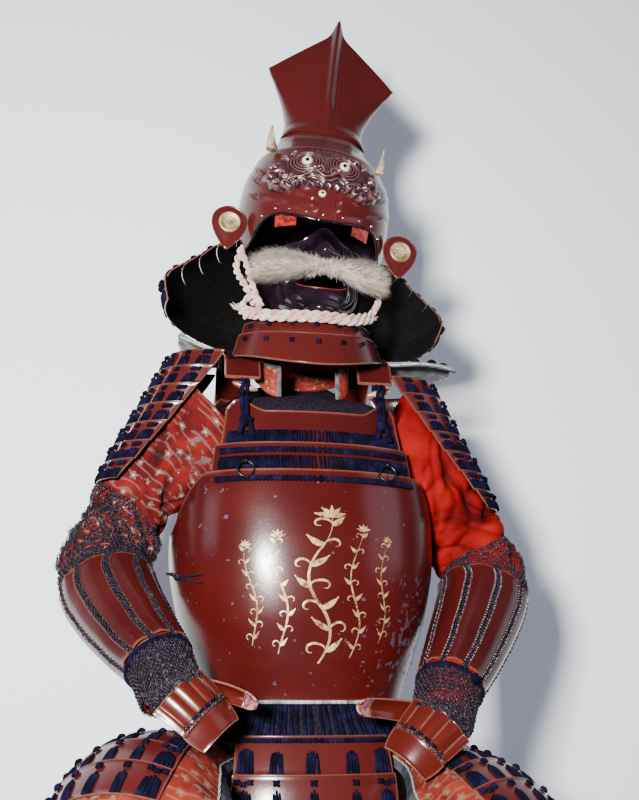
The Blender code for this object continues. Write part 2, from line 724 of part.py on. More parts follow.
def build_hands():
    for side, s in SIDES:
        inside = hand(s, 0, 0.05) - hand_frame(s)[1] * 0.08

        def back(u, v, s=s):
            flute = 0.0030 * abs(math.cos(math.pi * 2 * u))
            taper = mix(1.0, 0.88, v)
            return hand(s, u * taper, mix(HAND_START, HAND_LONG, v), flute)

        shell(f"hand_guard_{side}", back, steps(-1, 1, 16), steps(0, 1, 4), "red_lacquer", inside)

        def fingers(u, v, s=s):
            taper = mix(0.88, 0.72, v * v)
            return hand(s, u * taper, HAND_LONG + 2 * SEAM + FINGER_LONG * v, 0.002)

        shell(f"finger_guard_{side}", fingers, steps(-1, 1, 8), (0, 0.33, 0.67, 1), "red_lacquer", inside)

        start = arm(s, THUMB_ROOT, 9.75, PLATE + THUMB_SEAM[side])
        tip = Vector(THUMB_TIP[side])
        outward = (start - arm_centre(s, 9.75)).normalized()
        lean = tip - start
        wide = outward.cross(lean).normalized()
        outward = lean.cross(wide).normalized()

        def thumb(u, v, start=start, lean=lean, wide=wide, outward=outward):
            half = THUMB_HALF * (mix(1.0, 0.80, v) if v < 0.99 else 0.55)
            arch = 0.006 * math.sin(math.pi * v) - 0.006 * u * u
            return start + lean * v + wide * (u * half) + outward * arch

        shell(f"thumb_guard_{side}", thumb, steps(-1, 1, 4), (0, 0.3, 0.6, 0.85, 1), "red_lacquer", inside)


# Helmet: its own frame has z = 0 at the brim; it sits on the suit with a slight lean.
HEAD = Matrix.Translation((0.012, 0.0, 0.175)) @ Matrix.Rotation(math.radians(6.0), 4, "Y")
# Bowl by height: half width, reach in front, reach behind.
BOWL = (
    (-0.030, 0.110, 0.122, 0.124),
    (0.000, 0.114, 0.130, 0.130),
    (0.045, 0.118, 0.131, 0.136),
    (0.090, 0.115, 0.120, 0.133),
    (0.130, 0.101, 0.098, 0.115),
    (0.150, 0.086, 0.078, 0.092),
    (0.167, 0.0745, 0.062, 0.073),
    (0.182, 0.068, 0.054, 0.062),
)
BOWL_TOP_Z = 0.182
RIM_Z = ((0, -0.003), (14, 0.0), (27, 0.005), (38, 0.008), (50, 0.001), (64, -0.024), (80, -0.028), (120, -0.012),
         (180, -0.006))


def bowl(degrees, z, out=0.0):
    _, wide, front, back = row_at(BOWL, z)
    a = math.radians(degrees)
    reach = front if math.cos(a) > 0 else back
    return Vector(((wide + out) * math.sin(a), -(reach + out) * math.cos(a), z))


def build_helmet():
    def dome(degrees, v):
        rim = row_at(RIM_Z, abs(degrees))[1]
        if v <= 1:
            return bowl(degrees, mix(rim, BOWL_TOP_Z, v))
        p = bowl(degrees, BOWL_TOP_Z)
        return Vector((p.x * (2 - v), p.y * (2 - v), BOWL_TOP_Z))

    shell("helmet_bowl", dome, steps(-180, 180, 28), steps(0, 1, 7) + [2], "red_lacquer", (0, 0, 0.05),
          PLATE, HEAD)
    build_crown()
    build_ornament()
    build_ear_wings()
    build_neck_guard()


# Crown: a tall flat cap that narrows to a waist and flares to two points under a pitched top.
CROWN = (
    (0.00, 0.068, 0.054),
    (0.12, 0.064, 0.044),
    (0.30, 0.065, 0.036),
    (0.55, 0.076, 0.028),
    (0.80, 0.092, 0.021),
    (0.97, 0.104, 0.014),
    (1.00, 0.106, 0.000),
)
CROWN_BASE_Z = BOWL_TOP_Z + SEAM
CROWN_TIP_Z, CROWN_PEAK_Z = 0.321, 0.409
CROWN_LEAN = 0.020
CROWN_SHIFT = 0.007                     # how far its top stands to the wearer's left
RIB_OUT, RIB_WIDE, RIB_UP = 0.007, 0.0085, 0.020


def crown(degrees, t, out=0.0):
    a = math.radians(degrees)
    _, wide, deep = row_at(CROWN, t)
    across = math.cos(a)
    rib = bump(across * wide, 0, RIB_WIDE)
    roof = mix(CROWN_PEAK_Z, CROWN_TIP_Z, abs(across)) + RIB_UP * rib
    front = math.sin(a)
    thick = deep + out + RIB_OUT * rib * ease(t * 3) * ease((1 - t) / 0.03)
    y = power(front, 0.75) * (thick if t < 1 else out)
    x = across * (wide + out) + CROWN_SHIFT * t * t
    return Vector((x, CROWN_LEAN * t + y, mix(CROWN_BASE_Z, roof, t)))


def build_crown():
    turns = [0, 12, 28, 45, 62, 74, 81, 85, 90, 95, 99, 106, 118, 135, 152, 168]
    ring = turns + [180 + t for t in turns] + [360]

    def cap(i, t):
        return crown(ring[round(i * (len(ring) - 1))], t)

    loft("helmet_crown", cap, len(ring) - 1, [0, 0.12, 0.3, 0.5, 0.7, 0.85, 0.97, 1.0], "red_lacquer", HEAD)


# Front ornament: a carved beast's mask on the brow, with two small horns.
ORNAMENT_Z = (0.046, 0.121)
ORNAMENT_HALF = 0.088
ORNAMENT_DEEP = 0.017
HORN_Z = {"right": 0.124, "left": 0.112}
HORN_TURN = {"right": -49, "left": 45}           # degrees round the bowl
HORN_THICK = {"right": 0.0100, "left": 0.0078}
HORN_SEAT = 0.0008


def brow_degrees(x, z):
    _, wide, _, _ = row_at(BOWL, z)
    return math.degrees(math.asin(min(max(x / wide, -0.97), 0.97)))


def ornament(u, v, out):
    """A place on the beast's mask: u across from -1 to 1, v up from 0 to 1, out from the bowl."""
    half = ORNAMENT_HALF * (0.55 + 0.45 * math.sin(math.pi * min(v * 0.92 + 0.12, 1.0)))
    x = half * u - 0.005
    sag = 0.010 * u * u
    z = mix(ORNAMENT_Z[0], ORNAMENT_Z[1], v) - sag
    return bowl(brow_degrees(x, z), z, out)


def build_ornament():
    def relief(u, v):
        edge = min((1 - abs(u)) * 4, v * 5, (1 - v) * 5, 1.0)
        brow = 0.006 * bump(abs(u), 0.35, 0.20) * bump(v, 0.72, 0.2)
        nose = 0.010 * bump(u, 0, 0.16) * bump(v, 0.45, 0.18)
        curls = 0.004 * math.sin(9 * u + 2) * math.sin(11 * v)
        return ORNAMENT_DEEP * (0.45 + 0.55 * math.sqrt(max(edge, 0))) + brow + nose + curls * edge

    across, rows = 16, 8
    mesh = bmesh.new()
    front = [[mesh.verts.new(ornament(u, v, 2.2 * SEAM + relief(u, v))) for u in steps(-1, 1, across)]
             for v in steps(0, 1, rows)]
    back = [[mesh.verts.new(ornament(u, v, 1.2 * SEAM)) for u in steps(-1, 1, across)] for v in steps(0, 1, rows)]
    for j in range(rows):
        for i in range(across):
            mesh.faces.new((front[j][i], front[j][i + 1], front[j + 1][i + 1], front[j + 1][i]))
            mesh.faces.new((back[j][i], back[j + 1][i], back[j + 1][i + 1], back[j][i + 1]))
    for i in range(across):
        mesh.faces.new((front[0][i], back[0][i], back[0][i + 1], front[0][i + 1]))
        mesh.faces.new((front[rows][i], front[rows][i + 1], back[rows][i + 1], back[rows][i]))
    for j in range(rows):
        mesh.faces.new((front[j][0], front[j + 1][0], back[j + 1][0], back[j][0]))
        mesh.faces.new((front[j][across], back[j][across], back[j + 1][across], front[j + 1][across]))
    bmesh.ops.recalc_face_normals(mesh, faces=mesh.faces)
    finish("brow_ornament", mesh, "carved_wood", HEAD)
    for side, s in SIDES:
        root = bowl(HORN_TURN[side], HORN_Z[side], HORN_THICK[side] * 0.8 + HORN_SEAT)
        lean = (Vector((s * 0.010, -0.004, 0.040)), Vector((s * -0.006, 0.0, 0.0)))

        def horn(turn, v, root=root, lean=lean, thick=HORN_THICK[side]):
            radius = thick * (1 - 0.88 * v)
            a = 2 * math.pi * turn
            return root + lean[0] * v + lean[1] * v * v + Vector((radius * math.cos(a),
                                                                 radius * 0.8 * math.sin(a), 0))

        loft(f"brow_horn_{side}", horn, 8, steps(0, 1, 3), "horn", HEAD)


# Ear wings: small drop-shaped plates beside the brim.
EAR_HALF, EAR_UP, EAR_DOWN = 0.027, 0.025, 0.046
EAR_Y, EAR_Z = -0.052, 0.006
EAR_SEAT = 0.00015          # the bowl's flat faces lie just inside its true curve


def ear_x():
    _, wide, front, _ = row_at(BOWL, EAR_Z)
    return wide * math.sqrt(1 - (EAR_Y / front) ** 2)


def build_ear_wings():
    for side, s in SIDES:
        centre = Vector((s * (ear_x() + EAR_SEAT + EAR_HALF), EAR_Y, EAR_Z))

        def drop(turn, r, s=s, centre=centre):
            a = 2 * math.pi * turn
            x, z = math.sin(a), math.cos(a)
            if z > 0:
                z *= EAR_UP
                x *= EAR_HALF
            else:
                x *= EAR_HALF * (1 - 0.55 * z * z)
                z *= EAR_DOWN
            return centre + Vector((x * r, -0.004 * (1 - r * r), z * r))

        shell(f"ear_wing_{side}", drop, steps(0, 1, 20), (0, 0.5, 1), "red_lacquer",
              (centre.x, centre.y + 0.5, centre.z), PLATE, HEAD)


# Neck guard: five lames that spread out behind the face.
NECK = (
    (0, 0.000, 0.1123, 0.1283),
    (1, -0.017, 0.141, 0.1525),
    (2, -0.040, 0.165, 0.172),
    (3, -0.062, 0.189, 0.192),
    (4, -0.086, 0.213, 0.208),
    (5, -0.124, 0.208, 0.204),
)
NECK_LAMES = 5
NECK_SPAN = (88, 272)


def neck(degrees, lame, out=0.0):
    _, z, wide, deep = row_at(NECK, lame)
    a = math.radians(degrees)
    return Vector(((wide + out) * math.sin(a), -(deep + out) * math.cos(a), z))


def build_neck_guard():
    def guard(degrees, v):
        spread = (degrees - 180) / (NECK_SPAN[1] - 180)
        span = mix(NECK_SPAN[1] - 180, 98, min(v / 3, 1))
        return neck(180 + spread * span, v, SEAM + lame_out(v, NECK_LAMES))

    shell("neck_guard", guard, steps(*NECK_SPAN, 18), lame_lines(NECK_LAMES), "red_lacquer", (0, 0.02, 0.0),
          PLATE, HEAD)


# Mask: a lacquered half mask from nose to chin, with the mouth cut through.
FACE = Matrix.Translation((0.007, 0.0, 0.0)) @ Matrix.Rotation(math.radians(2.5), 4, "Y")
# Mask by height: half width, reach in front.
MASK = (
    (0.014, 0.050, 0.112),
    (0.030, 0.060, 0.124),
    (0.050, 0.068, 0.125),
    (0.083, 0.075, 0.120),
    (0.115, 0.078, 0.118),
    (0.150, 0.079, 0.114),
    (0.175, 0.079, 0.110),
)
MASK_SPAN = 84
MOUTH = (0.0, 0.083, 0.036, 0.0105)       # x, z, half width, half height
MOUTH_SIDES = 14
# The moustache: place along each tuft, distance in front of the head's middle.
BRUSH_HALF = 0.095
BRUSH_REACH = ((0, 0.1288), (0.25, 0.1245), (0.5, 0.1135), (0.75, 0.0972), (1.0, 0.0762))


def mask(degrees, z, out=0.0):
    _, wide, front = row_at(MASK, z)
    a = math.radians(degrees)
    x = (wide + out) * math.sin(a)
    y = -(front + out) * power(math.cos(a), 0.8) + 0.004
    nose_wide = 0.018 + 0.12 * max(0.130 - z, 0)
    nose = 0.026 * bump(x, 0, nose_wide) * bump(z, 0.127, 0.016 if z < 0.127 else 0.030)
    nose += 0.010 * bump(abs(x), 0.022, 0.010) * bump(z, 0.123, 0.011)
    cheek = 0.006 * bump(abs(x), 0.050, 0.018) * bump(z, 0.118, 0.022)
    chin = 0.009 * bump(x, 0, 0.026) * bump(z, 0.040, 0.014)
    lips = 0.004 * bump(x, 0, 0.040) * (bump(z, 0.064, 0.007) + bump(z, 0.096, 0.007))
    fold = -0.003 * bump(abs(x), 0.044, 0.005) * bump(z, 0.085, 0.022)
    return Vector((x, y - nose - cheek - chin - lips - fold, z))


def build_mask():
    def face(degrees, v):
        top = 0.146 + 0.024 * bump(degrees, 0, 16) - 0.010 * ease((abs(degrees) - 50) / 30)
        foot = 0.0272 + 0.008 * ease(abs(degrees) / MASK_SPAN)
        return mask(degrees, mix(foot, top, v))

    angles = [-84, -66, -50, -38, -28, -20, -13, -7, 0, 7, 13, 20, 28, 38, 50, 66, 84]
    shown = shell("face_mask", face, angles, steps(0, 1, 12), "black_lacquer", (0, 0.02, 0.08), PLATE, FACE)
    bpy.ops.mesh.primitive_cylinder_add(vertices=MOUTH_SIDES, radius=1, depth=0.10,
                                        rotation=(math.radians(90), 0, 0))
    cutter = bpy.context.object
    cutter.scale = (MOUTH[2], MOUTH[3], 1)
    cutter.location = FACE @ Vector((MOUTH[0], -0.12, MOUTH[1]))
    cut(shown, cutter)

    def brush(turn, v):
        along = 2 * v - 1
        a = 2 * math.pi * turn
        fat = mix(0.0075, 0.0215, ease(abs(along) * 1.8)) * math.sqrt(max(1 - abs(along) ** 6, 0.15))
        reach = row_at(BRUSH_REACH, abs(along))[1]
        z = 0.101 + 0.004 * along * along + fat * math.sin(a)
        return Vector((along * BRUSH_HALF, -reach + 0.55 * fat * math.cos(a), z))

    loft("moustache", brush, 8, steps(0, 1, 12), "horsehair", FACE)


# Throat guard: two lames that hang from the mask's chin and flare over the collar.
# Shape: lame, side height, dip in front, half width, reach in front.
THROAT = (
    (0.0, 0.036, 0.010, 0.100, 0.118),
    (0.5, 0.022, 0.018, 0.106, 0.130),
    (1.2, 0.004, 0.030, 0.114, 0.142),
    (2.0, -0.012, 0.038, 0.122, 0.152),
)
THROAT_SPAN = 67


def throat(degrees, lame, out=0.0):
    _, z, dip, wide, front = row_at(THROAT, lame)
    a = math.radians(degrees)
    return Vector(((wide + out) * math.sin(a), -(front + out) * math.cos(a), z - dip * math.cos(a) ** 2))


def build_throat_guard():
    def guard(degrees, v):
        lip = STEP * (1 - min(v / 0.55, 1)) if v < 0.6 else STEP * max(0.0, 1 - (v - 0.62) / 1.2)
        return throat(degrees, v, lip)

    shell("throat_guard", guard, steps(-THROAT_SPAN, THROAT_SPAN, 14), (0, 0.55, 0.62, 1.3, 2.0),
          "red_lacquer", (0, 0, 0), PLATE)


# Helmet cord: rope strands down the cheeks, wound under the chin over the throat guard's rim.
CHEEK_RUN = {
    "right": ((-0.0985, -0.040, 0.1598), (-0.1075, -0.052, 0.120), (-0.097, -0.074, 0.086),
              (-0.088, -0.088, 0.060), (-0.0835, -0.0935, 0.0485)),
    "left": ((0.1035, -0.0455, 0.1368), (0.1110, -0.0400, 0.108), (0.1080, -0.0530, 0.080),
             (0.0970, -0.0775, 0.060), (0.0915, -0.0850, 0.0518)),
}
CHIN_RUN = ((-0.102, -0.076, 0.0475), (-0.089, -0.089, 0.037), (-0.062, -0.111, 0.0275), (-0.028, -0.1277, 0.0236),
            (0.012, -0.1302, 0.0236), (0.048, -0.119, 0.0255), (0.074, -0.102, 0.034), (0.090, -0.084, 0.043))


def build_helmet_cord():
    for side, _ in SIDES:
        tube(f"helmet_cord_{side}", CHEEK_RUN[side], 0.0055, "silk_rope", 1)
    tube("chin_cord", CHIN_RUN, 0.0080, "silk_rope", 2)


# Side cord: laces the front plate to the back plate.
SIDE_CORD = ((-94, -0.326), (-86, -0.328), (-78, -0.333), (-70, -0.337), (-62, -0.340), (-51, -0.343))


def build_side_cord():
    run = [trunk(degrees, z, FRONT_OUT + 0.0018 + SEAM) for degrees, z in SIDE_CORD]
    tube("side_cord", run, 0.0018, "navy_braid", 1)


build_cuirass()
build_straps()
build_shoulder_wings()
build_collar()
build_strap_fittings()
build_rings()
build_side_cord()
build_skirt()
build_thighs()
build_shins()
build_arms()
build_shoulder_guards()
build_hands()
build_helmet()
build_mask()
build_throat_guard()
build_helmet_cord()
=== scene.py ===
"""The looks of a suit of armour on display: lacquered plates, silk lacing, mail, brocade, rope and fur.
Metres, +Z up, front towards -Y; the frame's origin lies between the shoulder straps."""

import math
import random

import bmesh
import bpy
import numpy as np
from mathutils import Matrix, Vector


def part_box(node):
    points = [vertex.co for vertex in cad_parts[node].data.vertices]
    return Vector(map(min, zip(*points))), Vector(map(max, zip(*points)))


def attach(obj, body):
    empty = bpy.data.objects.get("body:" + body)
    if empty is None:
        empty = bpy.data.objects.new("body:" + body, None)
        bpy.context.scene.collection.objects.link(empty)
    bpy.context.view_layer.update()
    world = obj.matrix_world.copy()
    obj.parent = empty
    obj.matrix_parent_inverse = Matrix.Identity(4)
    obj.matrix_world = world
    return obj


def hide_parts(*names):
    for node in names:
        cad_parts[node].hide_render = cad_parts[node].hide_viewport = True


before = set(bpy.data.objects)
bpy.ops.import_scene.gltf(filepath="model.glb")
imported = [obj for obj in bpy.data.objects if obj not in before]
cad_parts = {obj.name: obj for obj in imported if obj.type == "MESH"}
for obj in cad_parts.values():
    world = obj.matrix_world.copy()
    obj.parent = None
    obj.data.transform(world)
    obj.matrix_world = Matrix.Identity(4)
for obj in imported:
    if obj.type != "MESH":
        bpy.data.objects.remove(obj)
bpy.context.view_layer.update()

# Studio: a pale wall behind the suit, a dark floor, one small strong light on the left near the camera's
# height, which throws the suit's shadow on the wall to its right, and two weak bluish lights at the sides.
IMAGE_WIDTH = 639
FOCAL_PIXELS = 1100
CAMERA_AT = (-0.2778, -1.5757, -0.486)
CAMERA_HEADING, CAMERA_PITCH = math.radians(11.0), math.radians(14.8)
WALL_Y = 0.52
FLOOR_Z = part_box("shin_guard_left")[0].z - 0.001

camera_data = bpy.data.cameras.new("camera")
camera_data.sensor_width = 36.0
camera_data.sensor_fit = "HORIZONTAL"
camera_data.lens = FOCAL_PIXELS * camera_data.sensor_width / IMAGE_WIDTH
camera_data.clip_start = 0.05
camera = bpy.data.objects.new("camera", camera_data)
camera.location = CAMERA_AT
camera.rotation_euler = (math.radians(90) + CAMERA_PITCH, 0, -CAMERA_HEADING)
bpy.context.scene.collection.objects.link(camera)
bpy.context.scene.camera = camera


def area_light(name, at, aim, size, power, colour):
    light = bpy.data.lights.new(name, "AREA")
    light.size = size
    light.energy = power
    light.color = colour
    obj = bpy.data.objects.new(name, light)
    obj.location = at
    obj.rotation_euler = (Vector(aim) - Vector(at)).to_track_quat("-Z", "Y").to_euler()
    bpy.context.scene.collection.objects.link(obj)


area_light("key", (-0.66, -1.80, -0.26), (0.0, 0.0, -0.05), 0.20, 165, (1.0, 0.98, 0.96))
area_light("fill", (1.25, -0.95, 0.10), (0.0, 0.0, -0.20), 0.90, 5, (0.84, 0.80, 1.0))
area_light("side", (-1.50, -0.45, 0.10), (0.0, 0.1, -0.1), 0.50, 2, (0.88, 0.88, 1.0))

world = bpy.data.worlds.new("studio")
world.use_nodes = True
world.node_tree.nodes["Background"].inputs["Color"].default_value = (0.68, 0.70, 1.0, 1)
world.node_tree.nodes["Background"].inputs["Strength"].default_value = 0.075
bpy.context.scene.world = world


def node(tree, kind, **values):
    """A shader node with its settings, and its sockets' values by name."""
    made = tree.nodes.new(kind)
    for key, value in values.items():
        if hasattr(made, key):
            setattr(made, key, value)
        else:
            made.inputs[key.replace("_", " ")].default_value = value
    return made


def studio_paint(name, colour, see_through_back, glow=0.0):
    paint = bpy.data.materials.new(name)
    paint.use_nodes = True
    tree = paint.node_tree
    shader = tree.nodes["Principled BSDF"]
    shader.inputs["Base Color"].default_value = (*colour, 1)
    shader.inputs["Roughness"].default_value = 0.9
    shader.inputs["Specular IOR Level"].default_value = 0.1
    shader.inputs["Emission Color"].default_value = (0.72, 0.78, 1.0, 1)
    shader.inputs["Emission Strength"].default_value = glow
    if see_through_back:
        side = node(tree, "ShaderNodeNewGeometry")
        clear = node(tree, "ShaderNodeBsdfTransparent")
        blend = node(tree, "ShaderNodeMixShader")
        tree.links.new(side.outputs["Backfacing"], blend.inputs[0])
        tree.links.new(shader.outputs[0], blend.inputs[1])
        tree.links.new(clear.outputs[0], blend.inputs[2])
        tree.links.new(blend.outputs[0], tree.nodes["Material Output"].inputs["Surface"])
    return paint


bpy.ops.object.select_all(action="DESELECT")
bpy.ops.mesh.primitive_plane_add(size=12, location=(0, WALL_Y, 2), rotation=(math.radians(90), 0, 0))
wall = bpy.context.object
wall.name = "wall"
wall.data.materials.append(studio_paint("wall_paint", (0.80, 0.86, 0.86), True, 0.19))
bpy.ops.mesh.primitive_plane_add(size=12, location=(0, 0, FLOOR_Z))
floor = bpy.context.object
floor.name = "floor"
floor.data.materials.append(studio_paint("floor_paint", (0.07, 0.06, 0.07), False))


# Rope: the helmet is tied on with a pink and cream silk rope of two strands, which runs down both cheeks
# and is wound under the chin over the throat guard's rim; its cut end is frayed.
def row_at(rows, key):
    """The row of a table at a key that lies between its rows, on a smooth curve through them."""
    key = min(max(key, rows[0][0]), rows[-1][0])
    last = len(rows) - 2
    i = min(max(sum(row[0] <= key for row in rows) - 1, 0), last)
    before, a, b, after = rows[max(i - 1, 0)], rows[i], rows[i + 1], rows[min(i + 2, last + 1)]
    t = (key - a[0]) / (b[0] - a[0])
    out = []
    for p, q, r, s in zip(before, a, b, after):
        bend = (2 * p - 5 * q + 4 * r - s) * t * t + (3 * q - p - 3 * r + s) * t ** 3
        out.append(q + 0.5 * ((r - p) * t + bend))
    return out


def ease(t):
    t = min(max(t, 0.0), 1.0)
    return t * t * (3 - 2 * t)


def mix(a, b, t):
    return a + (b - a) * t


def bump(x, centre, width):
    return math.exp(-((x - centre) / width) ** 2)


def power(value, exponent):
    return math.copysign(abs(value) ** exponent, value)


def smooth_run(points, fineness):
    rows = [(i, *p) for i, p in enumerate(points)]
    return [Vector(row_at(rows, i / fineness)[1:]) for i in range(fineness * (len(points) - 1) + 1)]


def mesh_object(name, points, faces, uvs=None):
    """A mesh from points and faces that the caller works out, smooth shaded, with one UV pair per point."""
    data = bpy.data.meshes.new(name)
    data.from_pydata([tuple(p) for p in points], [], faces)
    if uvs is not None:
        layer = data.uv_layers.new(name="UVMap")
        loops = np.zeros(len(data.loops), int)
        data.loops.foreach_get("vertex_index", loops)
        layer.data.foreach_set("uv", np.asarray(uvs, float)[loops].ravel())
    data.shade_smooth()
    obj = bpy.data.objects.new(name, data)
    bpy.context.scene.collection.objects.link(obj)
    return obj


def knotted(heap, at, turns, reach, lift, radius, sides=6, squash=1.0, forward=-0.001):
    """A knot: short turns of cord that cross at a place, each at its own angle."""
    for turn in turns:
        tip = Vector((math.cos(turn) * reach[0], forward, math.sin(turn) * reach[1]))
        heap.tube([at - tip, at + Vector((0, lift, 0)), at + tip], radius, sides, squash)


def disc_faces(count, rings):
    """The faces of a round cap: point 0 is its middle, then rings of count points."""
    fan = [(0, 1 + k, 1 + (k + 1) % count) for k in range(count)]
    return fan + [(1 + count * j + k, 1 + count * (j + 1) + k, 1 + count * (j + 1) + (k + 1) % count,
                   1 + count * j + (k + 1) % count) for j in range(rings - 1) for k in range(count)]


def ringed(middle, across, upward, facing, rings, count):
    """Rings of points round a middle, each with its radius and its height along facing."""
    turns = [2 * math.pi / count * k for k in range(count)]
    return [middle + (across * math.cos(a) + upward * math.sin(a)) * radius + facing * height
            for radius, height in rings for a in turns]


class Heap:
    """Points and faces of many small things that become one mesh."""

    def __init__(self):
        self.points, self.faces, self.uvs = [], [], []

    def add(self, points, faces, uvs=None):
        start = len(self.points)
        self.points += points
        self.faces += [tuple(start + i for i in face) for face in faces]
        self.uvs += uvs if uvs else [(0.0, 0.0)] * len(points)

    def tube(self, run, radius, sides=6, squash=1.0, taper=None):
        """A closed round cord along a run of points, flatter across its own up by squash."""
        points, faces, uvs = [], [], []
        up = Vector((0.1, 0.2, 1.0)).normalized()
        length = 0.0
        for i, p in enumerate(run):
            t = (run[min(i + 1, len(run) - 1)] - run[max(i - 1, 0)]).normalized()
            side = t.cross(up)
            side = side.normalized() if side.length > 1e-6 else t.orthogonal().normalized()
            up = side.cross(t).normalized()
            length += (p - run[i - 1]).length if i else 0.0
            fat = radius * (taper(i / (len(run) - 1)) if taper else 1.0)
            for k in range(sides):
                a = 2 * math.pi * k / sides
                points.append(p + side * (fat * math.cos(a)) + up * (fat * squash * math.sin(a)))
                uvs.append((k / sides, length))
        for i in range(len(run) - 1):
            for k in range(sides):
                n = (k + 1) % sides
                faces.append((i * sides + k, i * sides + n, (i + 1) * sides + n, (i + 1) * sides + k))
        faces.append(tuple(range(sides - 1, -1, -1)))
        last = (len(run) - 1) * sides
        faces.append(tuple(last + k for k in range(sides)))
        self.add(points, faces, uvs)

    def made(self, name):
        obj = mesh_object(name, self.points, self.faces, self.uvs)
        mesh = bmesh.new()
        mesh.from_mesh(obj.data)
        bmesh.ops.recalc_face_normals(mesh, faces=mesh.faces)
        mesh.to_mesh(obj.data)
        mesh.free()
        return obj


def worn_by(piece, material, slot, *nodes):
    """Gives a piece its finish, its body and the solids it stands for; its slot is not used."""
    piece.data.materials.clear()
    piece.data.materials.append(material)
    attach(piece, "root")
    if nodes:
        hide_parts(*nodes)
    return piece


def surface_material(name, roughness, **values):
    """A material whose pattern is still to be laid; returns it, its node tree and its shader."""
    made = bpy.data.materials.new(name)
    made.use_nodes = True
    shader = made.node_tree.nodes["Principled BSDF"]
    shader.inputs["Roughness"].default_value = roughness
    shader.inputs["Specular IOR Level"].default_value = 0.06 if roughness > 0.5 else 0.5
    for key, value in values.items():
        shader.inputs[key.replace("_", " ")].default_value = value
    return made, made.node_tree, shader


def ramp(tree, source, *stops):
    """A colour ramp on a value, with stops of place and colour."""
    made = node(tree, "ShaderNodeValToRGB")
    tree.links.new(source, made.inputs[0])
    elements = made.color_ramp.elements
    while len(elements) < len(stops):
        elements.new(0.5)
    for element, (place, colour) in zip(elements, stops):
        element.position = place
        element.color = (*colour, 1)
    return made.outputs["Color"]


def noise(tree, coordinates, scale, detail=3.0):
    made = node(tree, "ShaderNodeTexNoise", Scale=scale, Detail=detail)
    tree.links.new(coordinates, made.inputs["Vector"])
    return made.outputs["Fac"]


def clouded(name, roughness, grain, *stops, **values):
    """A material coloured by noise of a scale and detail, its grain; returns it and its parts."""
    made, tree, shader = surface_material(name, roughness, **values)
    place = node(tree, "ShaderNodeTexCoord")
    tree.links.new(ramp(tree, noise(tree, place.outputs["Object"], *grain), *stops), shader.inputs["Base Color"])
    return made, tree, shader, place


def relief(tree, shader, height, strength, distance):
    made = node(tree, "ShaderNodeBump", Strength=strength, Distance=distance)
    tree.links.new(height, made.inputs["Height"])
    tree.links.new(made.outputs["Normal"], shader.inputs["Normal"])
    return made


def twisted(heap, run, radius, strands, turns_per_metre, sides=7, start=0.0):
    """Strands wound round each other along a run, each with its own fibre direction in its UV map."""
    up = Vector((0, 0.3, 1)).normalized()
    frames, length = [], 0.0
    for i, p in enumerate(run):
        t = (run[min(i + 1, len(run) - 1)] - run[max(i - 1, 0)]).normalized()
        side = t.cross(up).normalized()
        up = side.cross(t).normalized()
        length += (p - run[i - 1]).length if i else 0.0
        frames.append((p, side, up.copy(), length))
    for k in range(strands):
        path = []
        for p, side, upward, along in frames:
            a = start + 2 * math.pi * (k / strands + along * turns_per_metre)
            path.append(p + side * (0.5 * radius * math.cos(a)) + upward * (0.5 * radius * math.sin(a)))
        heap.tube(path, radius * 0.56, sides)


CHEEK_RUN = {
    "right": ((-0.0985, -0.040, 0.1598), (-0.1075, -0.052, 0.120), (-0.097, -0.074, 0.086),
              (-0.088, -0.088, 0.060), (-0.0835, -0.0935, 0.0485)),
    "left": ((0.1035, -0.0455, 0.1368), (0.1110, -0.0400, 0.108), (0.1080, -0.0530, 0.080),
             (0.0970, -0.0775, 0.060), (0.0915, -0.0850, 0.0518)),
}
CHIN_RUN = ((-0.102, -0.076, 0.0475), (-0.089, -0.089, 0.037), (-0.062, -0.111, 0.0275), (-0.028, -0.1277, 0.0236),
            (0.012, -0.1302, 0.0236), (0.048, -0.119, 0.0255), (0.074, -0.102, 0.034), (0.090, -0.084, 0.043))
SECOND_STRAND = ((-0.101, -0.052, 0.150), (-0.094, -0.064, 0.122), (-0.0885, -0.080, 0.090),
                 (-0.083, -0.094, 0.064), (-0.076, -0.104, 0.044))
KNOT_LOOP = ((-0.101, -0.078, 0.052), (-0.092, -0.096, 0.060), (-0.080, -0.104, 0.052),
             (-0.082, -0.103, 0.038), (-0.092, -0.092, 0.032), (-0.098, -0.082, 0.036))
ROPE_RADIUS = 0.0052
TWISTS = 34

pink_silk, tree, shader = surface_material("twisted_silk", 0.72, Sheen_Weight=0.5)
place = node(tree, "ShaderNodeTexCoord")
fibre = node(tree, "ShaderNodeTexWave", Scale=900, Distortion=1.5, Detail=2.0)
tree.links.new(place.outputs["Object"], fibre.inputs["Vector"])
patch = noise(tree, place.outputs["Object"], 55)
tree.links.new(ramp(tree, patch, (0.36, (0.3844, 0.1612, 0.124)), (0.50, (0.4588, 0.2852, 0.2356)),
                    (0.62, (0.496, 0.4092, 0.3224))),
               shader.inputs["Base Color"])
relief(tree, shader, fibre.outputs["Color"], 0.5, 0.0006)


def frayed(heap, root, direction, strands, length, rng):
    """The loose yarns at a cut rope's end."""
    for _ in range(strands):
        spread = Vector((rng.uniform(-1, 1), rng.uniform(-1, 1), rng.uniform(-1, 1)))
        tip = root + direction * length * rng.uniform(0.6, 1.1) + spread * length * 0.28
        middle = (root + tip) / 2 + spread * length * 0.05
        heap.tube([root + spread * 0.002, middle, tip], 0.0009, 4, taper=lambda t: 1.0 - 0.7 * t)


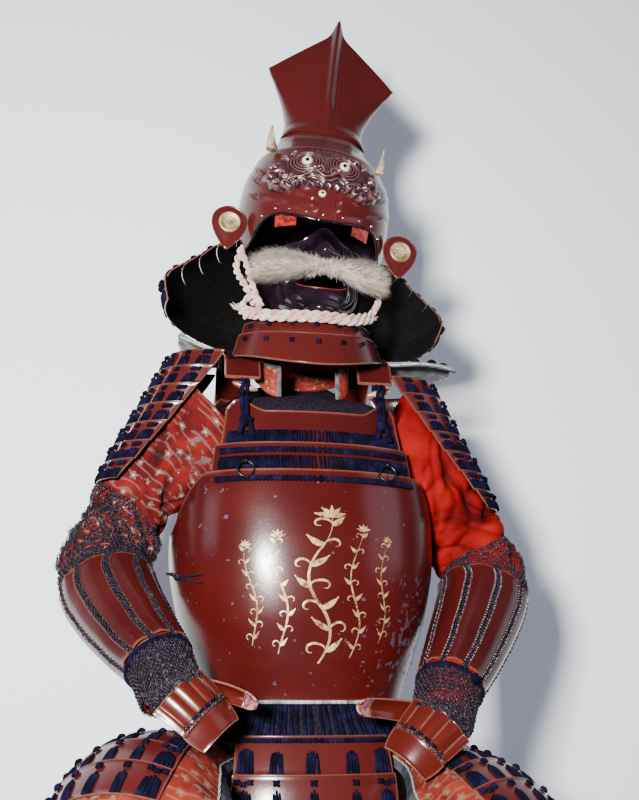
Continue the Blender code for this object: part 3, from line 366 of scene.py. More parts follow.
rng = random.Random(7)
cheek_right = Heap()
twisted(cheek_right, smooth_run(CHEEK_RUN["right"], 14), ROPE_RADIUS, 2, TWISTS)
twisted(cheek_right, smooth_run(SECOND_STRAND, 14), ROPE_RADIUS * 0.9, 2, TWISTS, start=1.0)
worn_by(cheek_right.made("cheek_rope_right"), pink_silk, "silk_rope", "helmet_cord_right")
cheek_left = Heap()
twisted(cheek_left, smooth_run(CHEEK_RUN["left"], 14), ROPE_RADIUS, 2, TWISTS)
worn_by(cheek_left.made("cheek_rope_left"), pink_silk, "silk_rope", "helmet_cord_left")
chin = Heap()
for lift, out, phase in ((0.0055, 0.000, 0.0), (-0.0035, 0.0030, 1.4), (0.0005, -0.0035, 2.6)):
    wrap = [Vector(p) * (1 + out) + Vector((0, out * -0.6, lift)) for p in smooth_run(CHIN_RUN, 12)]
    twisted(chin, wrap, ROPE_RADIUS * 0.95, 2, TWISTS, start=phase)
twisted(chin, smooth_run(KNOT_LOOP, 12), ROPE_RADIUS * 0.95, 2, TWISTS)
frayed(chin, Vector((-0.101, -0.078, 0.046)), Vector((-0.75, -0.25, 0.30)).normalized(), 26, 0.016, rng)
frayed(chin, Vector((0.088, -0.087, 0.040)), Vector((0.70, -0.35, 0.15)).normalized(), 16, 0.010, rng)
worn_by(chin.made("chin_rope"), pink_silk, "silk_rope", "chin_cord")


# Cuirass: a smooth bulging front plate, a laced band and a chest plate above it, and a back plate.
# All are iron under a thick brownish red lacquer, worn to a golden brown along the edges.
def effect_group(name, inputs, outputs):
    """An empty shader node group with named sockets; returns it with its two end nodes."""
    made = bpy.data.node_groups.new(name, "ShaderNodeTree")
    for label, kind, value in inputs:
        socket = made.interface.new_socket(name=label, in_out="INPUT", socket_type=kind)
        socket.default_value = value
    for label, kind in outputs:
        made.interface.new_socket(name=label, in_out="OUTPUT", socket_type=kind)
    return made, made.nodes.new("NodeGroupInput"), made.nodes.new("NodeGroupOutput")


def blended(tree, factor, first, second):
    """Mixes two colours; each may be a socket or a plain colour."""
    made = node(tree, "ShaderNodeMix", data_type="RGBA")
    tree.links.new(factor, made.inputs[0])
    for socket, value in ((made.inputs[6], first), (made.inputs[7], second)):
        if isinstance(value, tuple):
            socket.default_value = (*value, 1)
        else:
            tree.links.new(value, socket)
    return made.outputs[2]


def sums(tree, operation, *values):
    made = node(tree, "ShaderNodeMath", operation=operation)
    for socket, value in zip(made.inputs, values):
        if isinstance(value, (int, float)):
            socket.default_value = value
        else:
            tree.links.new(value, socket)
    return made.outputs[0]


LACQUER_RED = (0.0459, 0.005, 0.0045)
LACQUER_DARK = (0.0228, 0.0019, 0.0022)
EDGE_BROWN = (0.1848, 0.066, 0.0374)

worn_lacquer, ends_in, ends_out = effect_group(
    "worn_lacquer",
    (("Colour", "NodeSocketColor", (*LACQUER_RED, 1)), ("Shade", "NodeSocketColor", (*LACQUER_DARK, 1)),
     ("Edge", "NodeSocketColor", (*EDGE_BROWN, 1)), ("Wear", "NodeSocketFloat", 0.7)),
    (("Colour", "NodeSocketColor"), ("Roughness", "NodeSocketFloat"), ("Height", "NodeSocketFloat")))
place = node(worn_lacquer, "ShaderNodeTexCoord")
cloud = noise(worn_lacquer, place.outputs["Object"], 9, 4)
grain = noise(worn_lacquer, place.outputs["Object"], 240, 3)
rim = node(worn_lacquer, "ShaderNodeAttribute", attribute_name="rim")
rubbed = sums(worn_lacquer, "MULTIPLY", rim.outputs["Fac"], ends_in.outputs["Wear"])
rubbed = sums(worn_lacquer, "MULTIPLY", rubbed, sums(worn_lacquer, "MULTIPLY_ADD", grain, 1.1, 0.15))
rubbed = sums(worn_lacquer, "MINIMUM", rubbed, 1.0)
body = blended(worn_lacquer, cloud, ends_in.outputs["Shade"], ends_in.outputs["Colour"])
worn_lacquer.links.new(blended(worn_lacquer, rubbed, body, ends_in.outputs["Edge"]), ends_out.inputs["Colour"])
worn_lacquer.links.new(sums(worn_lacquer, "MULTIPLY_ADD", cloud, 0.14, 0.16), ends_out.inputs["Roughness"])
worn_lacquer.links.new(sums(worn_lacquer, "ADD", grain, sums(worn_lacquer, "MULTIPLY", cloud, 4.0)),
                       ends_out.inputs["Height"])


def lacquered(name, colour=LACQUER_RED, shade=LACQUER_DARK, edge=EDGE_BROWN, wear=0.7, coat=0.16):
    """Lacquer with its clear coat; returns the material, its tree and the group and shader in it."""
    made, tree, shader = surface_material(name, 0.3, Specular_IOR_Level=0.30, Coat_Weight=coat, Coat_Roughness=0.22)
    group = node(tree, "ShaderNodeGroup", node_tree=worn_lacquer)
    group.inputs["Colour"].default_value = (*colour, 1)
    group.inputs["Shade"].default_value = (*shade, 1)
    group.inputs["Edge"].default_value = (*edge, 1)
    group.inputs["Wear"].default_value = wear
    tree.links.new(group.outputs["Colour"], shader.inputs["Base Color"])
    tree.links.new(group.outputs["Roughness"], shader.inputs["Roughness"])
    relief(tree, shader, group.outputs["Height"], 0.12, 0.0008)
    return made, tree, group, shader


def laid_grid(name, place, us, vs):
    """A grid whose corners lie at place(u, v, out), facing the way out grows, with u and v as its UV map."""
    bpy.ops.object.select_all(action="DESELECT")
    across, along = len(us) - 1, len(vs) - 1
    bpy.ops.mesh.primitive_grid_add(x_subdivisions=across, y_subdivisions=along, size=2)
    obj = bpy.context.object
    obj.name = obj.data.name = name
    spots = [(round((v.co.x + 1) / 2 * across), round((v.co.y + 1) / 2 * along)) for v in obj.data.vertices]
    for vert, (i, j) in zip(obj.data.vertices, spots):
        vert.co = place(us[i], vs[j], 0.0)
    layer = obj.data.uv_layers.active.data
    for loop in obj.data.loops:
        i, j = spots[loop.vertex_index]
        layer[loop.index].uv = (us[i], vs[j])
    middle = us[across // 2], vs[along // 2]
    outward = Vector(place(*middle, 0.001)) - Vector(place(*middle, 0.0))
    obj.data.update()
    spot = Vector(place(*middle, 0.0))
    face = min(obj.data.polygons, key=lambda f: (f.center - spot).length)
    if face.normal.dot(outward) < 0:
        obj.data.flip_normals()
    return obj


def apply_modifier(obj, kind, **values):
    bpy.ops.object.select_all(action="DESELECT")
    bpy.context.view_layer.objects.active = obj
    obj.select_set(True)
    made = obj.modifiers.new(kind.lower(), kind)
    for key, value in values.items():
        setattr(made, key, value)
    bpy.ops.object.modifier_apply(modifier=made.name)


def joined(name, pieces):
    bpy.ops.object.select_all(action="DESELECT")
    for piece in pieces:
        piece.select_set(True)
    bpy.context.view_layer.objects.active = pieces[0]
    bpy.ops.object.join()
    pieces[0].name = pieces[0].data.name = name
    return pieces[0]


def even(first, last, count):
    return [mix(first, last, i / count) for i in range(count + 1)]


def marked(obj, label, value):
    """Gives each point of a mesh a value worked out from its UV map."""
    spots = obj.data.attributes.new(label, "FLOAT", "POINT")
    uv = obj.data.uv_layers.active.data
    for loop in obj.data.loops:
        spots.data[loop.vertex_index].value = value(*uv[loop.index].uv)


def rimmed(first, last, count, rim):
    """Even stations with two more close to each end, where a plate's rim turns up."""
    inner = even(first + rim, last - rim, count)
    return [first, first + rim * 0.45] + inner + [last - rim * 0.45, last]


def plate(name, place, us, vs, wall=0.003, rim=(0.01, 0.01), lip=0.0007, bevel=0.0005):
    """A lacquered plate: a curved sheet with a slightly raised rolled rim, given its thickness inwards."""
    def rolled(u, v, out):
        gap = min((u - us[0]) / rim[0], (us[-1] - u) / rim[0], (v - vs[0]) / rim[1], (vs[-1] - v) / rim[1])
        return place(u, v, out + lip * (1 - ease(max(gap, 0) / 0.9)) - lip * 0.5)

    def wear(u, v):
        near = min(abs(u - us[0]) / rim[0], abs(u - us[-1]) / rim[0], abs(v - vs[0]) / rim[1],
                   abs(v - vs[-1]) / rim[1])
        return 1 - ease(near / 0.8)

    obj = laid_grid(name, rolled, us, vs)
    marked(obj, "rim", wear)
    apply_modifier(obj, "SOLIDIFY", thickness=wall, offset=-1)
    if bevel:
        apply_modifier(obj, "BEVEL", width=bevel, segments=2, limit_method="ANGLE", angle_limit=math.radians(50))
    obj.data.shade_smooth()
    obj.data.set_sharp_from_angle(angle=math.radians(38))
    return obj


TRUNK = (
    (-0.500, 0.137, 0.112, 0.104),
    (-0.450, 0.153, 0.131, 0.114),
    (-0.390, 0.171, 0.146, 0.121),
    (-0.320, 0.184, 0.152, 0.126),
    (-0.250, 0.184, 0.149, 0.128),
    (-0.195, 0.177, 0.140, 0.128),
    (-0.120, 0.164, 0.121, 0.122),
    (-0.040, 0.150, 0.098, 0.110),
)
SQUARE = 0.86
SIDE_SEAM = 89.3
ARMPIT_Z, FRONT_TOP_Z, BACK_TOP_Z = -0.275, -0.197, -0.045
BAND_Z = (-0.206, -0.157)
CHEST_Z = (-0.166, -0.090)
NECK_DIP, CHEST_CORNER = 0.020, 47.0
PLATE, SEAM = 0.003, 0.0007
FRONT_OUT = PLATE + 2 * SEAM


def oval(rows, degrees, z, out):
    _, wide, front, back = row_at(rows, z)
    s, c = math.sin(math.radians(degrees)), math.cos(math.radians(degrees))
    reach = front if c > 0 else back
    return Vector(((wide + out) * power(s, SQUARE), -(reach + out) * power(c, SQUARE), z))


def trunk(degrees, z, out=0.0):
    return oval(TRUNK, degrees, z, out)


def front_plate(degrees, v, out):
    top = mix(FRONT_TOP_Z, ARMPIT_Z, ease((abs(degrees) - 50) / 36))
    return trunk(degrees, mix(TRUNK[0][0], top, v), FRONT_OUT + out)


def chest_plate(degrees, v, out):
    side = abs(degrees) / CHEST_CORNER
    dip = NECK_DIP * (1 - ease((side - 0.45) / 0.4)) + 0.012 * ease((side - 0.88) / 0.12)
    return trunk(degrees, mix(CHEST_Z[0], CHEST_Z[1] - dip, v), -PLATE - 1.3 * SEAM + out)


def chest_band(degrees, v, out):
    return trunk(degrees, mix(*BAND_Z, v), out)


def back_plate(degrees, v, out):
    top = mix(BACK_TOP_Z, ARMPIT_Z, ease((abs(degrees - 180) - 44) / 34))
    return trunk(degrees, mix(TRUNK[0][0], top, v), FRONT_OUT + out)


red_lacquer, *_ = lacquered("red_lacquer")
cuirass_lacquer, tree, group, shader = lacquered("cuirass_lacquer", (0.0495, 0.004, 0.0032), (0.0229, 0.0016, 0.0016))
place = node(tree, "ShaderNodeTexCoord")
# The lacquer is chipped in one region, low on the viewer's right, and has a few specks elsewhere.
spread = node(tree, "ShaderNodeMapping", Location=(-1.62, 0.92, 3.6125), Scale=(12.0, 8.0, 8.5))
tree.links.new(place.outputs["Object"], spread.inputs["Vector"])
region = node(tree, "ShaderNodeTexGradient", gradient_type="SPHERICAL")
tree.links.new(spread.outputs[0], region.inputs["Vector"])
flakes = noise(tree, place.outputs["Object"], 105, 5)
chips = sums(tree, "GREATER_THAN", sums(tree, "MULTIPLY_ADD", region.outputs["Fac"], 0.19, flakes), 0.695)
scuffs = noise(tree, place.outputs["Object"], 60, 6)
specks = sums(tree, "GREATER_THAN", scuffs, 0.700)
spots = sums(tree, "MAXIMUM", chips, specks)
tree.links.new(blended(tree, spots, group.outputs["Colour"], (0.039, 0.0234, 0.0442)), shader.inputs["Base Color"])
tree.links.new(sums(tree, "MAXIMUM", group.outputs["Roughness"], sums(tree, "MULTIPLY", spots, 0.6)),
               shader.inputs["Roughness"])

front = plate("cuirass_front_plate", front_plate, rimmed(-SIDE_SEAM, SIDE_SEAM, 72, 1.0), rimmed(0, 1, 44, 0.012),
              PLATE, (1.0, 0.012))
worn_by(front, cuirass_lacquer, "red_lacquer", "cuirass_front")
band = plate("chest_band_plate", chest_band, rimmed(-50, 50, 48, 0.9), rimmed(0, 1, 12, 0.06), PLATE, (0.9, 0.06))
worn_by(band, red_lacquer, "red_lacquer", "chest_band")
chest = plate("chest_top_plate", chest_plate, rimmed(-CHEST_CORNER, CHEST_CORNER, 48, 1.2),
              rimmed(0, 1, 18, 0.045), PLATE, (1.2, 0.045), lip=0.0022)
worn_by(chest, red_lacquer, "red_lacquer", "chest_plate")
back = plate("cuirass_back_plate", back_plate, rimmed(180.7 - SIDE_SEAM, 180 + SIDE_SEAM, 60, 1.0),
             rimmed(0, 1, 30, 0.012), PLATE, (1.0, 0.012))
worn_by(back, red_lacquer, "red_lacquer", "cuirass_back")

# A strip of white leather is folded over the front plate's lower edge.
white_leather, *_ = clouded("white_leather", 0.7, (38, 4), (0.35, (0.052, 0.0572, 0.0728)),
                            (0.62, (0.341, 0.372, 0.3844)))
hem = Heap()
for i in range(40):
    first, last = mix(-62, 62, i / 40), mix(-62, 62, (i + 1) / 40 + 0.001)
    hem.tube([trunk(mix(first, last, k / 3), TRUNK[0][0] - 0.0004, FRONT_OUT - 0.0010) for k in range(4)], 0.0026, 8)
worn_by(hem.made("cuirass_hem"), white_leather, "grey_cloth")

# Gold painting: vine sprays with curled tendrils and leaves, brushed on the front plate in gold lacquer.
gold_paint, *_ = clouded("gold_lacquer", 0.45, (160, 3), (0.36, (0.1144, 0.0234, 0.0114)),
                         (0.46, (0.2604, 0.155, 0.062)), (0.66, (0.372, 0.2666, 0.1302)), Metallic=0.35)


def brushed(heap, path, width):
    """A flat brush stroke on the front plate, through places of degrees and height, thin at both ends."""
    points, faces, count = [], [], len(path)
    spots = [trunk(d, z, FRONT_OUT + 0.00025) for d, z in path]
    for i, p in enumerate(spots):
        t = (spots[min(i + 1, count - 1)] - spots[max(i - 1, 0)]).normalized()
        normal = (trunk(*path[i], FRONT_OUT + 0.01) - p).normalized()
        swell = 0.25 + 0.75 * math.sin(math.pi * min(i / (count - 1) + 0.12, 1))
        side = t.cross(normal).normalized() * width * swell
        points += [p - side, p + normal * 0.0001, p + side]
    for i in range(count - 1):
        faces += [(3 * i, 3 * i + 3, 3 * i + 4, 3 * i + 1), (3 * i + 1, 3 * i + 4, 3 * i + 5, 3 * i + 2)]
    heap.add(points, faces)


DEGREES_PER_METRE = 330
STEMS = (
    (0.0, -0.452, 0.190, 0.010, 1.3, 0.0021),
    (-13.5, -0.440, 0.150, 0.008, 1.1, 0.0013),
    (12.5, -0.445, 0.165, 0.008, 1.2, 0.0013),
    (-26.0, -0.430, 0.128, 0.007, 1.0, 0.0011),
    (25.5, -0.425, 0.132, 0.007, 1.0, 0.0011),
)
sprays = Heap()
for foot, low, tall, sway, waves, width in STEMS:
    def stem(t, foot=foot, low=low, tall=tall, sway=sway, waves=waves):
        shift = sway * math.sin(2 * math.pi * waves * t + foot)
        return foot + shift * DEGREES_PER_METRE, low + tall * t

    brushed(sprays, [stem(i / 60) for i in range(61)], width)
    buds = 7 if foot == 0 else 8
    for k in range(buds):
        t = (k + 0.6) / buds
        d0, z0 = stem(t)
        turn = 1 if (k + (foot > 0)) % 2 else -1
        size = (0.020 if foot == 0 else 0.011) * (1 - 0.25 * t)
        curl = []
        for i in range(26):
            a = i / 25 * 4.6
            r = size * (1 - i / 25 * 0.80) * 0.62
            curl.append((d0 + turn * DEGREES_PER_METRE * (size * 0.62 - r * math.cos(a)), z0 + r * math.sin(a)))
        brushed(sprays, curl, width * 0.75)
        leaf = [(d0 - turn * DEGREES_PER_METRE * size * 0.9 * i / 8, z0
                 + size * 0.8 * (i / 8) ** 1.6) for i in range(9)]
        brushed(sprays, leaf, width * 1.9)
    d0, z0 = stem(1.0)
    for k in range(5):
        a = math.radians(90 + (k - 2) * 38)
        reach = width * 7
        petal = [(d0 + DEGREES_PER_METRE * reach * i / 6 * math.cos(a), z0 + reach * i / 6 * math.sin(a))
                 for i in range(7)]
        brushed(sprays, petal, width * 1.6)
worn_by(sprays.made("gold_sprays"), gold_paint, "red_lacquer")

# Silk lacing: flat braids of indigo silk, worn and fuzzy; the same braid laces the whole suit.
indigo_silk, tree, shader, place = clouded("indigo_silk", 0.9, (70, 4), (0.36, (0.0007, 0.0007, 0.0036)),
                                           (0.52, (0.0019, 0.0016, 0.0112)), (0.68, (0.0056, 0.0044, 0.0234)))
fuzz = noise(tree, place.outputs["Object"], 620, 3)
relief(tree, shader, fuzz, 0.9, 0.0012)


def braid_row(heap, surface, first, last, z, count, lift, radius, slant):
    """A cross-knotted row: short fat twists side by side, each leaning on the next."""
    for i in range(count):
        a, b = mix(first, last, i / count), mix(first, last, (i + 1.35) / count)
        for sign in (1, -1):
            run = [surface(mix(a, b, k / 4), z + sign * slant * (k / 4 - 0.5) * 2, lift
                           + 0.0008 * math.sin(math.pi * k / 4))
                   for k in range(5)]
            heap.tube(run, radius, 6)


def cord_row(heap, surface, first, last, z_low, z_high, count, lift, radius, rng):
    """Upright cords side by side, which come out of the plate above and go in again below."""
    for i in range(count):
        d = mix(first, last, (i + 0.5) / count)
        lean = rng.uniform(-0.25, 0.25)
        run = []
        for k in range(6):
            t = k / 5
            arch = math.sin(math.pi * t) ** 0.5
            run.append(surface(d + lean * t, mix(z_low, z_high, t) + rng.uniform(-0.0003, 0.0003),
                               lift + (arch - 0.7) * radius))
        heap.tube(run, radius, 6)


rng = random.Random(11)


def on_chest(degrees, z, out):
    return trunk(degrees, z, -PLATE - 1.3 * SEAM + out)


def on_front(degrees, z, out):
    return trunk(degrees, z, FRONT_OUT + out)


chest_lacing = Heap()
cord_row(chest_lacing, on_chest, -43.5, 43.5, -0.1560, -0.1395, 76, 0.0014, 0.00165, rng)
braid_row(chest_lacing, trunk, -45, 45, -0.1690, 54, 0.0015, 0.0022, 0.0030)
cord_row(chest_lacing, trunk, -45.5, 45.5, -0.1955, -0.1780, 78, 0.0014, 0.00170, rng)
braid_row(chest_lacing, on_front, -44.5, 44.5, -0.2110, 56, 0.0015, 0.0022, 0.0030)
worn_by(chest_lacing.made("chest_lacing"), indigo_silk, "navy_braid")

# Chest rings: a blackened iron ring hangs from a riveted staple with a domed boss on each side.
black_iron, *_ = clouded("blackened_iron", 0.3, (300,), (0.4, (0.0104, 0.0104, 0.0114)),
                         (0.7, (0.0468, 0.0442, 0.0442)), Metallic=0.9)


def copied(node_name, name, smooth_levels=1):
    """A copy of a solid with its triangles joined up again, its sharp rims held and its faces made finer."""
    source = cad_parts[node_name]
    obj = bpy.data.objects.new(name, source.data.copy())
    bpy.context.scene.collection.objects.link(obj)
    mesh = bmesh.new()
    mesh.from_mesh(obj.data)
    bmesh.ops.remove_doubles(mesh, verts=mesh.verts, dist=2e-6)
    bmesh.ops.join_triangles(mesh, faces=mesh.faces, angle_face_threshold=math.radians(35),
                             angle_shape_threshold=math.radians(60))
    crease = mesh.edges.layers.float.new("crease_edge")
    for edge in mesh.edges:
        if len(edge.link_faces) == 2 and edge.calc_face_angle(0) > math.radians(42):
            edge[crease] = 0.9
    mesh.to_mesh(obj.data)
    mesh.free()
    if smooth_levels:
        apply_modifier(obj, "SUBSURF", levels=smooth_levels, render_levels=smooth_levels)
    obj.data.shade_smooth()
    obj.data.set_sharp_from_angle(angle=math.radians(45))
    return obj


for side in ("right", "left"):
    worn_by(copied(f"chest_ring_{side}", f"ring_{side}"), black_iron, "iron", f"chest_ring_{side}")
    worn_by(copied(f"chest_staple_{side}", f"staple_{side}"), black_iron, "iron", f"chest_staple_{side}")

# Side tie: a thin black cord that laces the front plate to the back plate, knotted at the viewer's left.
black_cord, *_ = clouded("black_cord", 0.55, (400,), (0.4, (0.0031, 0.0031, 0.0062)), (0.7, (0.0156, 0.0156, 0.026)))
SIDE_CORD = ((-94, -0.326), (-86, -0.328), (-78, -0.333), (-70, -0.337), (-62, -0.340), (-51, -0.343))
side_tie = Heap()
for spread in (1, -1):
    run = []
    for i, (degrees, z) in enumerate(SIDE_CORD):
        fork = 0.0055 * ease((degrees + 69) / 16)
        run.append(trunk(degrees, z + spread * fork, FRONT_OUT + 0.0030))
    twisted(side_tie, smooth_run(run, 10), 0.0017, 2, 120, 5)
knot_at = trunk(-70, -0.337, FRONT_OUT + 0.0035)
knotted(side_tie, knot_at, (0.3, 1.2, 2.2), (0.0045, 0.0045), -0.002, 0.0022, forward=-0.002)
worn_by(side_tie.made("side_tie"), black_cord, "navy_braid", "side_cord")


# Shoulder straps: lacquered leather bridges from the back plate over the shoulders, each buttoned to the
# chest plate with a horn toggle through cord loops; small padded flaps are sewn to their outer edges.
def raised(point, inside):
    """Turns point(u, v) into place(u, v, out), out growing along the surface's own outward normal."""
    def place(u, v, out):
        at, step = point(u, v), 1e-3
        normal = (point(u + step, v) - point(u - step, v)).cross(point(u, v + step) - point(u, v - step))
        normal.normalize()
        return at + normal * (out if normal.dot(at - Vector(inside)) > 0 else -out)
    return place


def pace(place, u, v, step=0.01):
    """How many metres one unit of u and one of v cover on a surface at a place."""
    return ((place(u + step, v, 0) - place(u - step, v, 0)).length / (2 * step),
            (place(u, v + step, 0) - place(u, v - step, 0)).length / (2 * step))


def lump(heap, place, u, v, wide, tall, fat=0.0026, lift=0.0012):
    """A small flat knot: two short turns of cord that cross."""
    pace_u, pace_v = pace(place, u, v)
    for sign in (1, -1):
        run = [place(u + k * wide / pace_u, v + sign * k * tall / pace_v, lift + fat * 0.5 * (1 - abs(k)))
               for k in (-1, -0.5, 0, 0.5, 1)]
        heap.tube(run, fat, 6, 0.8, taper=lambda t: 0.45 + 0.55 * math.sin(math.pi * t) ** 0.6)


def strip(heap, place, u, v_top, v_foot, cords, rng, width=0.0040, lift=0.0010, pointed=0.18):
    """Cords side by side, the middle ones reaching higher, which end at the edge of the next lame."""
    pace_u, _ = pace(place, u, v_foot)
    for k in range(cords):
        off = k - (cords - 1) / 2
        start = mix(v_top, v_foot, pointed * abs(off) / max(cords / 2, 1) + rng.uniform(0, 0.05))
        lean = rng.uniform(-0.0003, 0.0003) / pace_u
        run = [place(u + (off * width * (0.82 + 0.22 * i / 5)) / pace_u + lean * i, mix(start, v_foot, i / 5),
                     lift + 0.0006 * math.sin(math.pi * i / 5)) for i in range(6)]
        heap.tube(run, width * 0.56, 6, 0.75, taper=lambda t: 0.55 + 0.45 * ease(t * 4))


STRAP_X = (0.072, 0.122)
STRAP_THICK = 0.006
STRAP_OVER = ((0.066, -0.004), (0.030, 0.006), (-0.010, 0.005), (-0.044, -0.010), (-0.064, -0.024),
              (-0.075, -0.052))
STRAP_BACK_Z = (-0.105, -0.072, -0.045)
SIDES = (("right", -1), ("left", 1))


def back_face(x, z, out):
    _, wide, _, reach = row_at(TRUNK, z)
    return (reach + out) * (1 - (abs(x) / (wide + out)) ** (2 / SQUARE)) ** (SQUARE / 2)


def strap_line(s):
    lift = FRONT_OUT + STRAP_THICK + 3.6 * SEAM

    def point(x, i):
        rows = [(k, back_face(x, z, lift), z) for k, z in enumerate(STRAP_BACK_Z)]
        rows += [(k + 3, y, z) for k, (y, z) in enumerate(STRAP_OVER)]
        _, y, z = row_at(rows, i)
        return Vector((s * x, y, z))
    return point


horn, tree, shader = surface_material("polished_horn", 0.25, Coat_Weight=0.4)
place = node(tree, "ShaderNodeTexCoord")
streak = node(tree, "ShaderNodeMapping", Scale=(35.0, 120.0, 120.0))
tree.links.new(place.outputs["Object"], streak.inputs["Vector"])
tree.links.new(ramp(tree, noise(tree, streak.outputs[0], 1.0, 4), (0.35, (0.026, 0.0094, 0.0062)),
                    (0.50, (0.2108, 0.093, 0.0372)),
                    (0.62, (0.341, 0.248, 0.1612))), shader.inputs["Base Color"])

STRAP_CORD_RUN = ((0.097, -0.0800, -0.0588), (0.097, -0.0842, -0.071), (0.0975, -0.0930, -0.084),
                  (0.098, -0.1015, -0.096), (0.097, -0.1078, -0.122), (0.096, -0.1140, -0.146))
for side, s in SIDES:
    strap = raised(strap_line(s), (s * 0.1, 0.0, -0.1))
    made = plate(f"strap_{side}", strap, rimmed(*STRAP_X, 10, 0.003), rimmed(0, 8, 44, 0.07), STRAP_THICK * 0.8,
                 (0.003, 0.07), bevel=0.0014)
    worn_by(made, red_lacquer, "red_lacquer", f"shoulder_strap_{side}")
    worn_by(copied(f"strap_toggle_{side}", f"toggle_{side}", 2), horn, "horn", f"strap_toggle_{side}")
    ties, rng = Heap(), random.Random(21)
    run = smooth_run([(s * x, y - 0.001, z) for x, y, z in STRAP_CORD_RUN], 8)
    for shift in (-0.0044, 0.0044):
        pair = [p + Vector((shift * (1 - 0.5 * ease((i - 18) / 14)), 0, 0)) for i, p in enumerate(run[:34])]
        ties.tube(pair, 0.0034, 7)
    centre = Vector((s * 0.097, -0.0991, -0.0740))
    loop = [centre + Vector((0.0015 * math.sin(3 * a), 0.0085 * math.cos(a) - 0.001, 0.0095 * math.sin(a)))
            for a in (2 * math.pi * k / 16 for k in range(17))]
    for shift in (-0.004, 0.003):
        ties.tube([p + Vector((shift, 0, 0)) for p in loop], 0.0028, 6)
    tied = run[33] + Vector((0, -0.002, 0))
    knotted(ties, tied, (0.2, 1.3, 2.4), (0.0085, 0.0075), -0.0035, 0.0038, 7, 0.9)
    for shift, length in ((-0.004, 0.020), (0.005, 0.024)):
        tail = [tied + Vector((shift * (1 + k / 5), -0.001 - 0.002 * k / 5, -length * k / 5)) for k in range(6)]
        ties.tube(tail, 0.0033, 6, taper=lambda t: 1 + 0.15 * t)
    for x in (0.082, 0.112):
        for i in (6.1, 6.9):
            lump(ties, strap, x, i, 0.0045, 0.003)
    worn_by(ties.made(f"strap_ties_{side}"), indigo_silk, "navy_braid", f"strap_cord_{side}")

padded_cloth, tree, shader, place = clouded("padded_grey_cloth", 0.85, (90, 5),
                                            (0.38, (0.0234, 0.0234, 0.0338)), (0.60, (0.0832, 0.0858, 0.0988)),
                                            Sheen_Weight=0.2)
weave = node(tree, "ShaderNodeTexWave", Scale=420, Distortion=2.0, Detail=2.0)
tree.links.new(place.outputs["Object"], weave.inputs["Vector"])
relief(tree, shader, weave.outputs["Color"], 0.4, 0.0006)
hemp_cloth, tree, shader, place = clouded("padded_hemp_cloth", 0.85, (120, 5), (0.36, (0.0884, 0.0728, 0.052)),
                                          (0.60, (0.2232, 0.1984, 0.155)), Sheen_Weight=0.2)
weave = node(tree, "ShaderNodeTexWave", Scale=360, Distortion=2.0, Detail=2.0)
tree.links.new(place.outputs["Object"], weave.inputs["Vector"])
relief(tree, shader, weave.outputs["Color"], 0.5, 0.0007)
pale_edge, *_ = clouded("pale_leather_edge", 0.6, (150, 4), (0.35, (0.13, 0.1248, 0.1196)),
                        (0.6, (0.372, 0.3596, 0.341)))

WING_PAD, WING_START = 0.006, STRAP_X[1] + SEAM
WING_TIP = {"right": (0.184, 0.028), "left": (0.238, -0.002)}
for side, s in SIDES:
    tip = WING_TIP[side]

    def flap(u, v):
        x = mix(WING_START, tip[0], u)
        half = mix(0.030, 0.050, ease(u * 2)) * math.sqrt(max(1 - max(u - 0.45, 0) ** 2 * 2.6, 0.05))
        z = 0.002 - 0.010 * v * v + tip[1] * u * u + 0.0012 * math.sin(9 * v) * u
        return Vector((s * x, 0.004 + half * v, z))

    wing = raised(flap, (s * 0.16, 0.0, -0.2))
    pad = plate(f"padded_flap_{side}", wing, even(0, 1, 20), even(-1, 1, 24), WING_PAD * 0.8, (0.05, 0.05), -0.0012,
                0.0022)
    worn_by(pad, padded_cloth if side == "right" else hemp_cloth, "grey_cloth", f"shoulder_wing_{side}")
    pad.data.materials.append(padded_cloth)
    for face in pad.data.polygons:
        face.material_index = 1 if face.normal.z < 0.1 else 0
    piping = Heap()
    border = [(u, -1) for u in even(0, 1, 14)] + [(1, v) for v in even(-1, 1, 18)[1:]]
    border += [(u, 1) for u in even(1, 0, 14)[1:]]
    piping.tube([wing(u, v, -0.0012) for u, v in border], 0.0018, 6)
    worn_by(piping.made(f"flap_piping_{side}"), pale_edge, "grey_cloth")
    if side == "left":
        knots = Heap()
        for u, v in ((0.18, -0.55), (0.42, -0.62), (0.66, -0.58), (0.86, -0.3), (0.3, 0.4), (0.6, 0.45)):
            lump(knots, wing, u, v, 0.006, 0.004, 0.0036, 0.0016)
        worn_by(knots.made("flap_knots"), indigo_silk, "navy_braid")


# Collar: a padded stand-up collar of red brocade, bound along its edges with grey blue cloth.
woven_flowers, ends_in, ends_out = effect_group(
    "woven_flowers", (("Vector", "NodeSocketVector", (0, 0, 0)), ("Scale", "NodeSocketFloat", 60.0)),
    (("Flower", "NodeSocketFloat"), ("Heart", "NodeSocketFloat"), ("Vine", "NodeSocketFloat")))
link = woven_flowers.links.new
cells = node(woven_flowers, "ShaderNodeTexVoronoi", voronoi_dimensions="2D", Randomness=0.55)
link(ends_in.outputs["Vector"], cells.inputs["Vector"])
link(ends_in.outputs["Scale"], cells.inputs["Scale"])
scaled = node(woven_flowers, "ShaderNodeVectorMath", operation="SCALE")
link(ends_in.outputs["Vector"], scaled.inputs[0])
link(ends_in.outputs["Scale"], scaled.inputs["Scale"])
centred = node(woven_flowers, "ShaderNodeVectorMath", operation="SUBTRACT")
back_scaled = node(woven_flowers, "ShaderNodeVectorMath", operation="SCALE")
link(cells.outputs["Position"], back_scaled.inputs[0])
link(ends_in.outputs["Scale"], back_scaled.inputs["Scale"])
link(scaled.outputs[0], centred.inputs[0])
link(back_scaled.outputs[0], centred.inputs[1])
parts = node(woven_flowers, "ShaderNodeSeparateXYZ")
link(centred.outputs[0], parts.inputs[0])
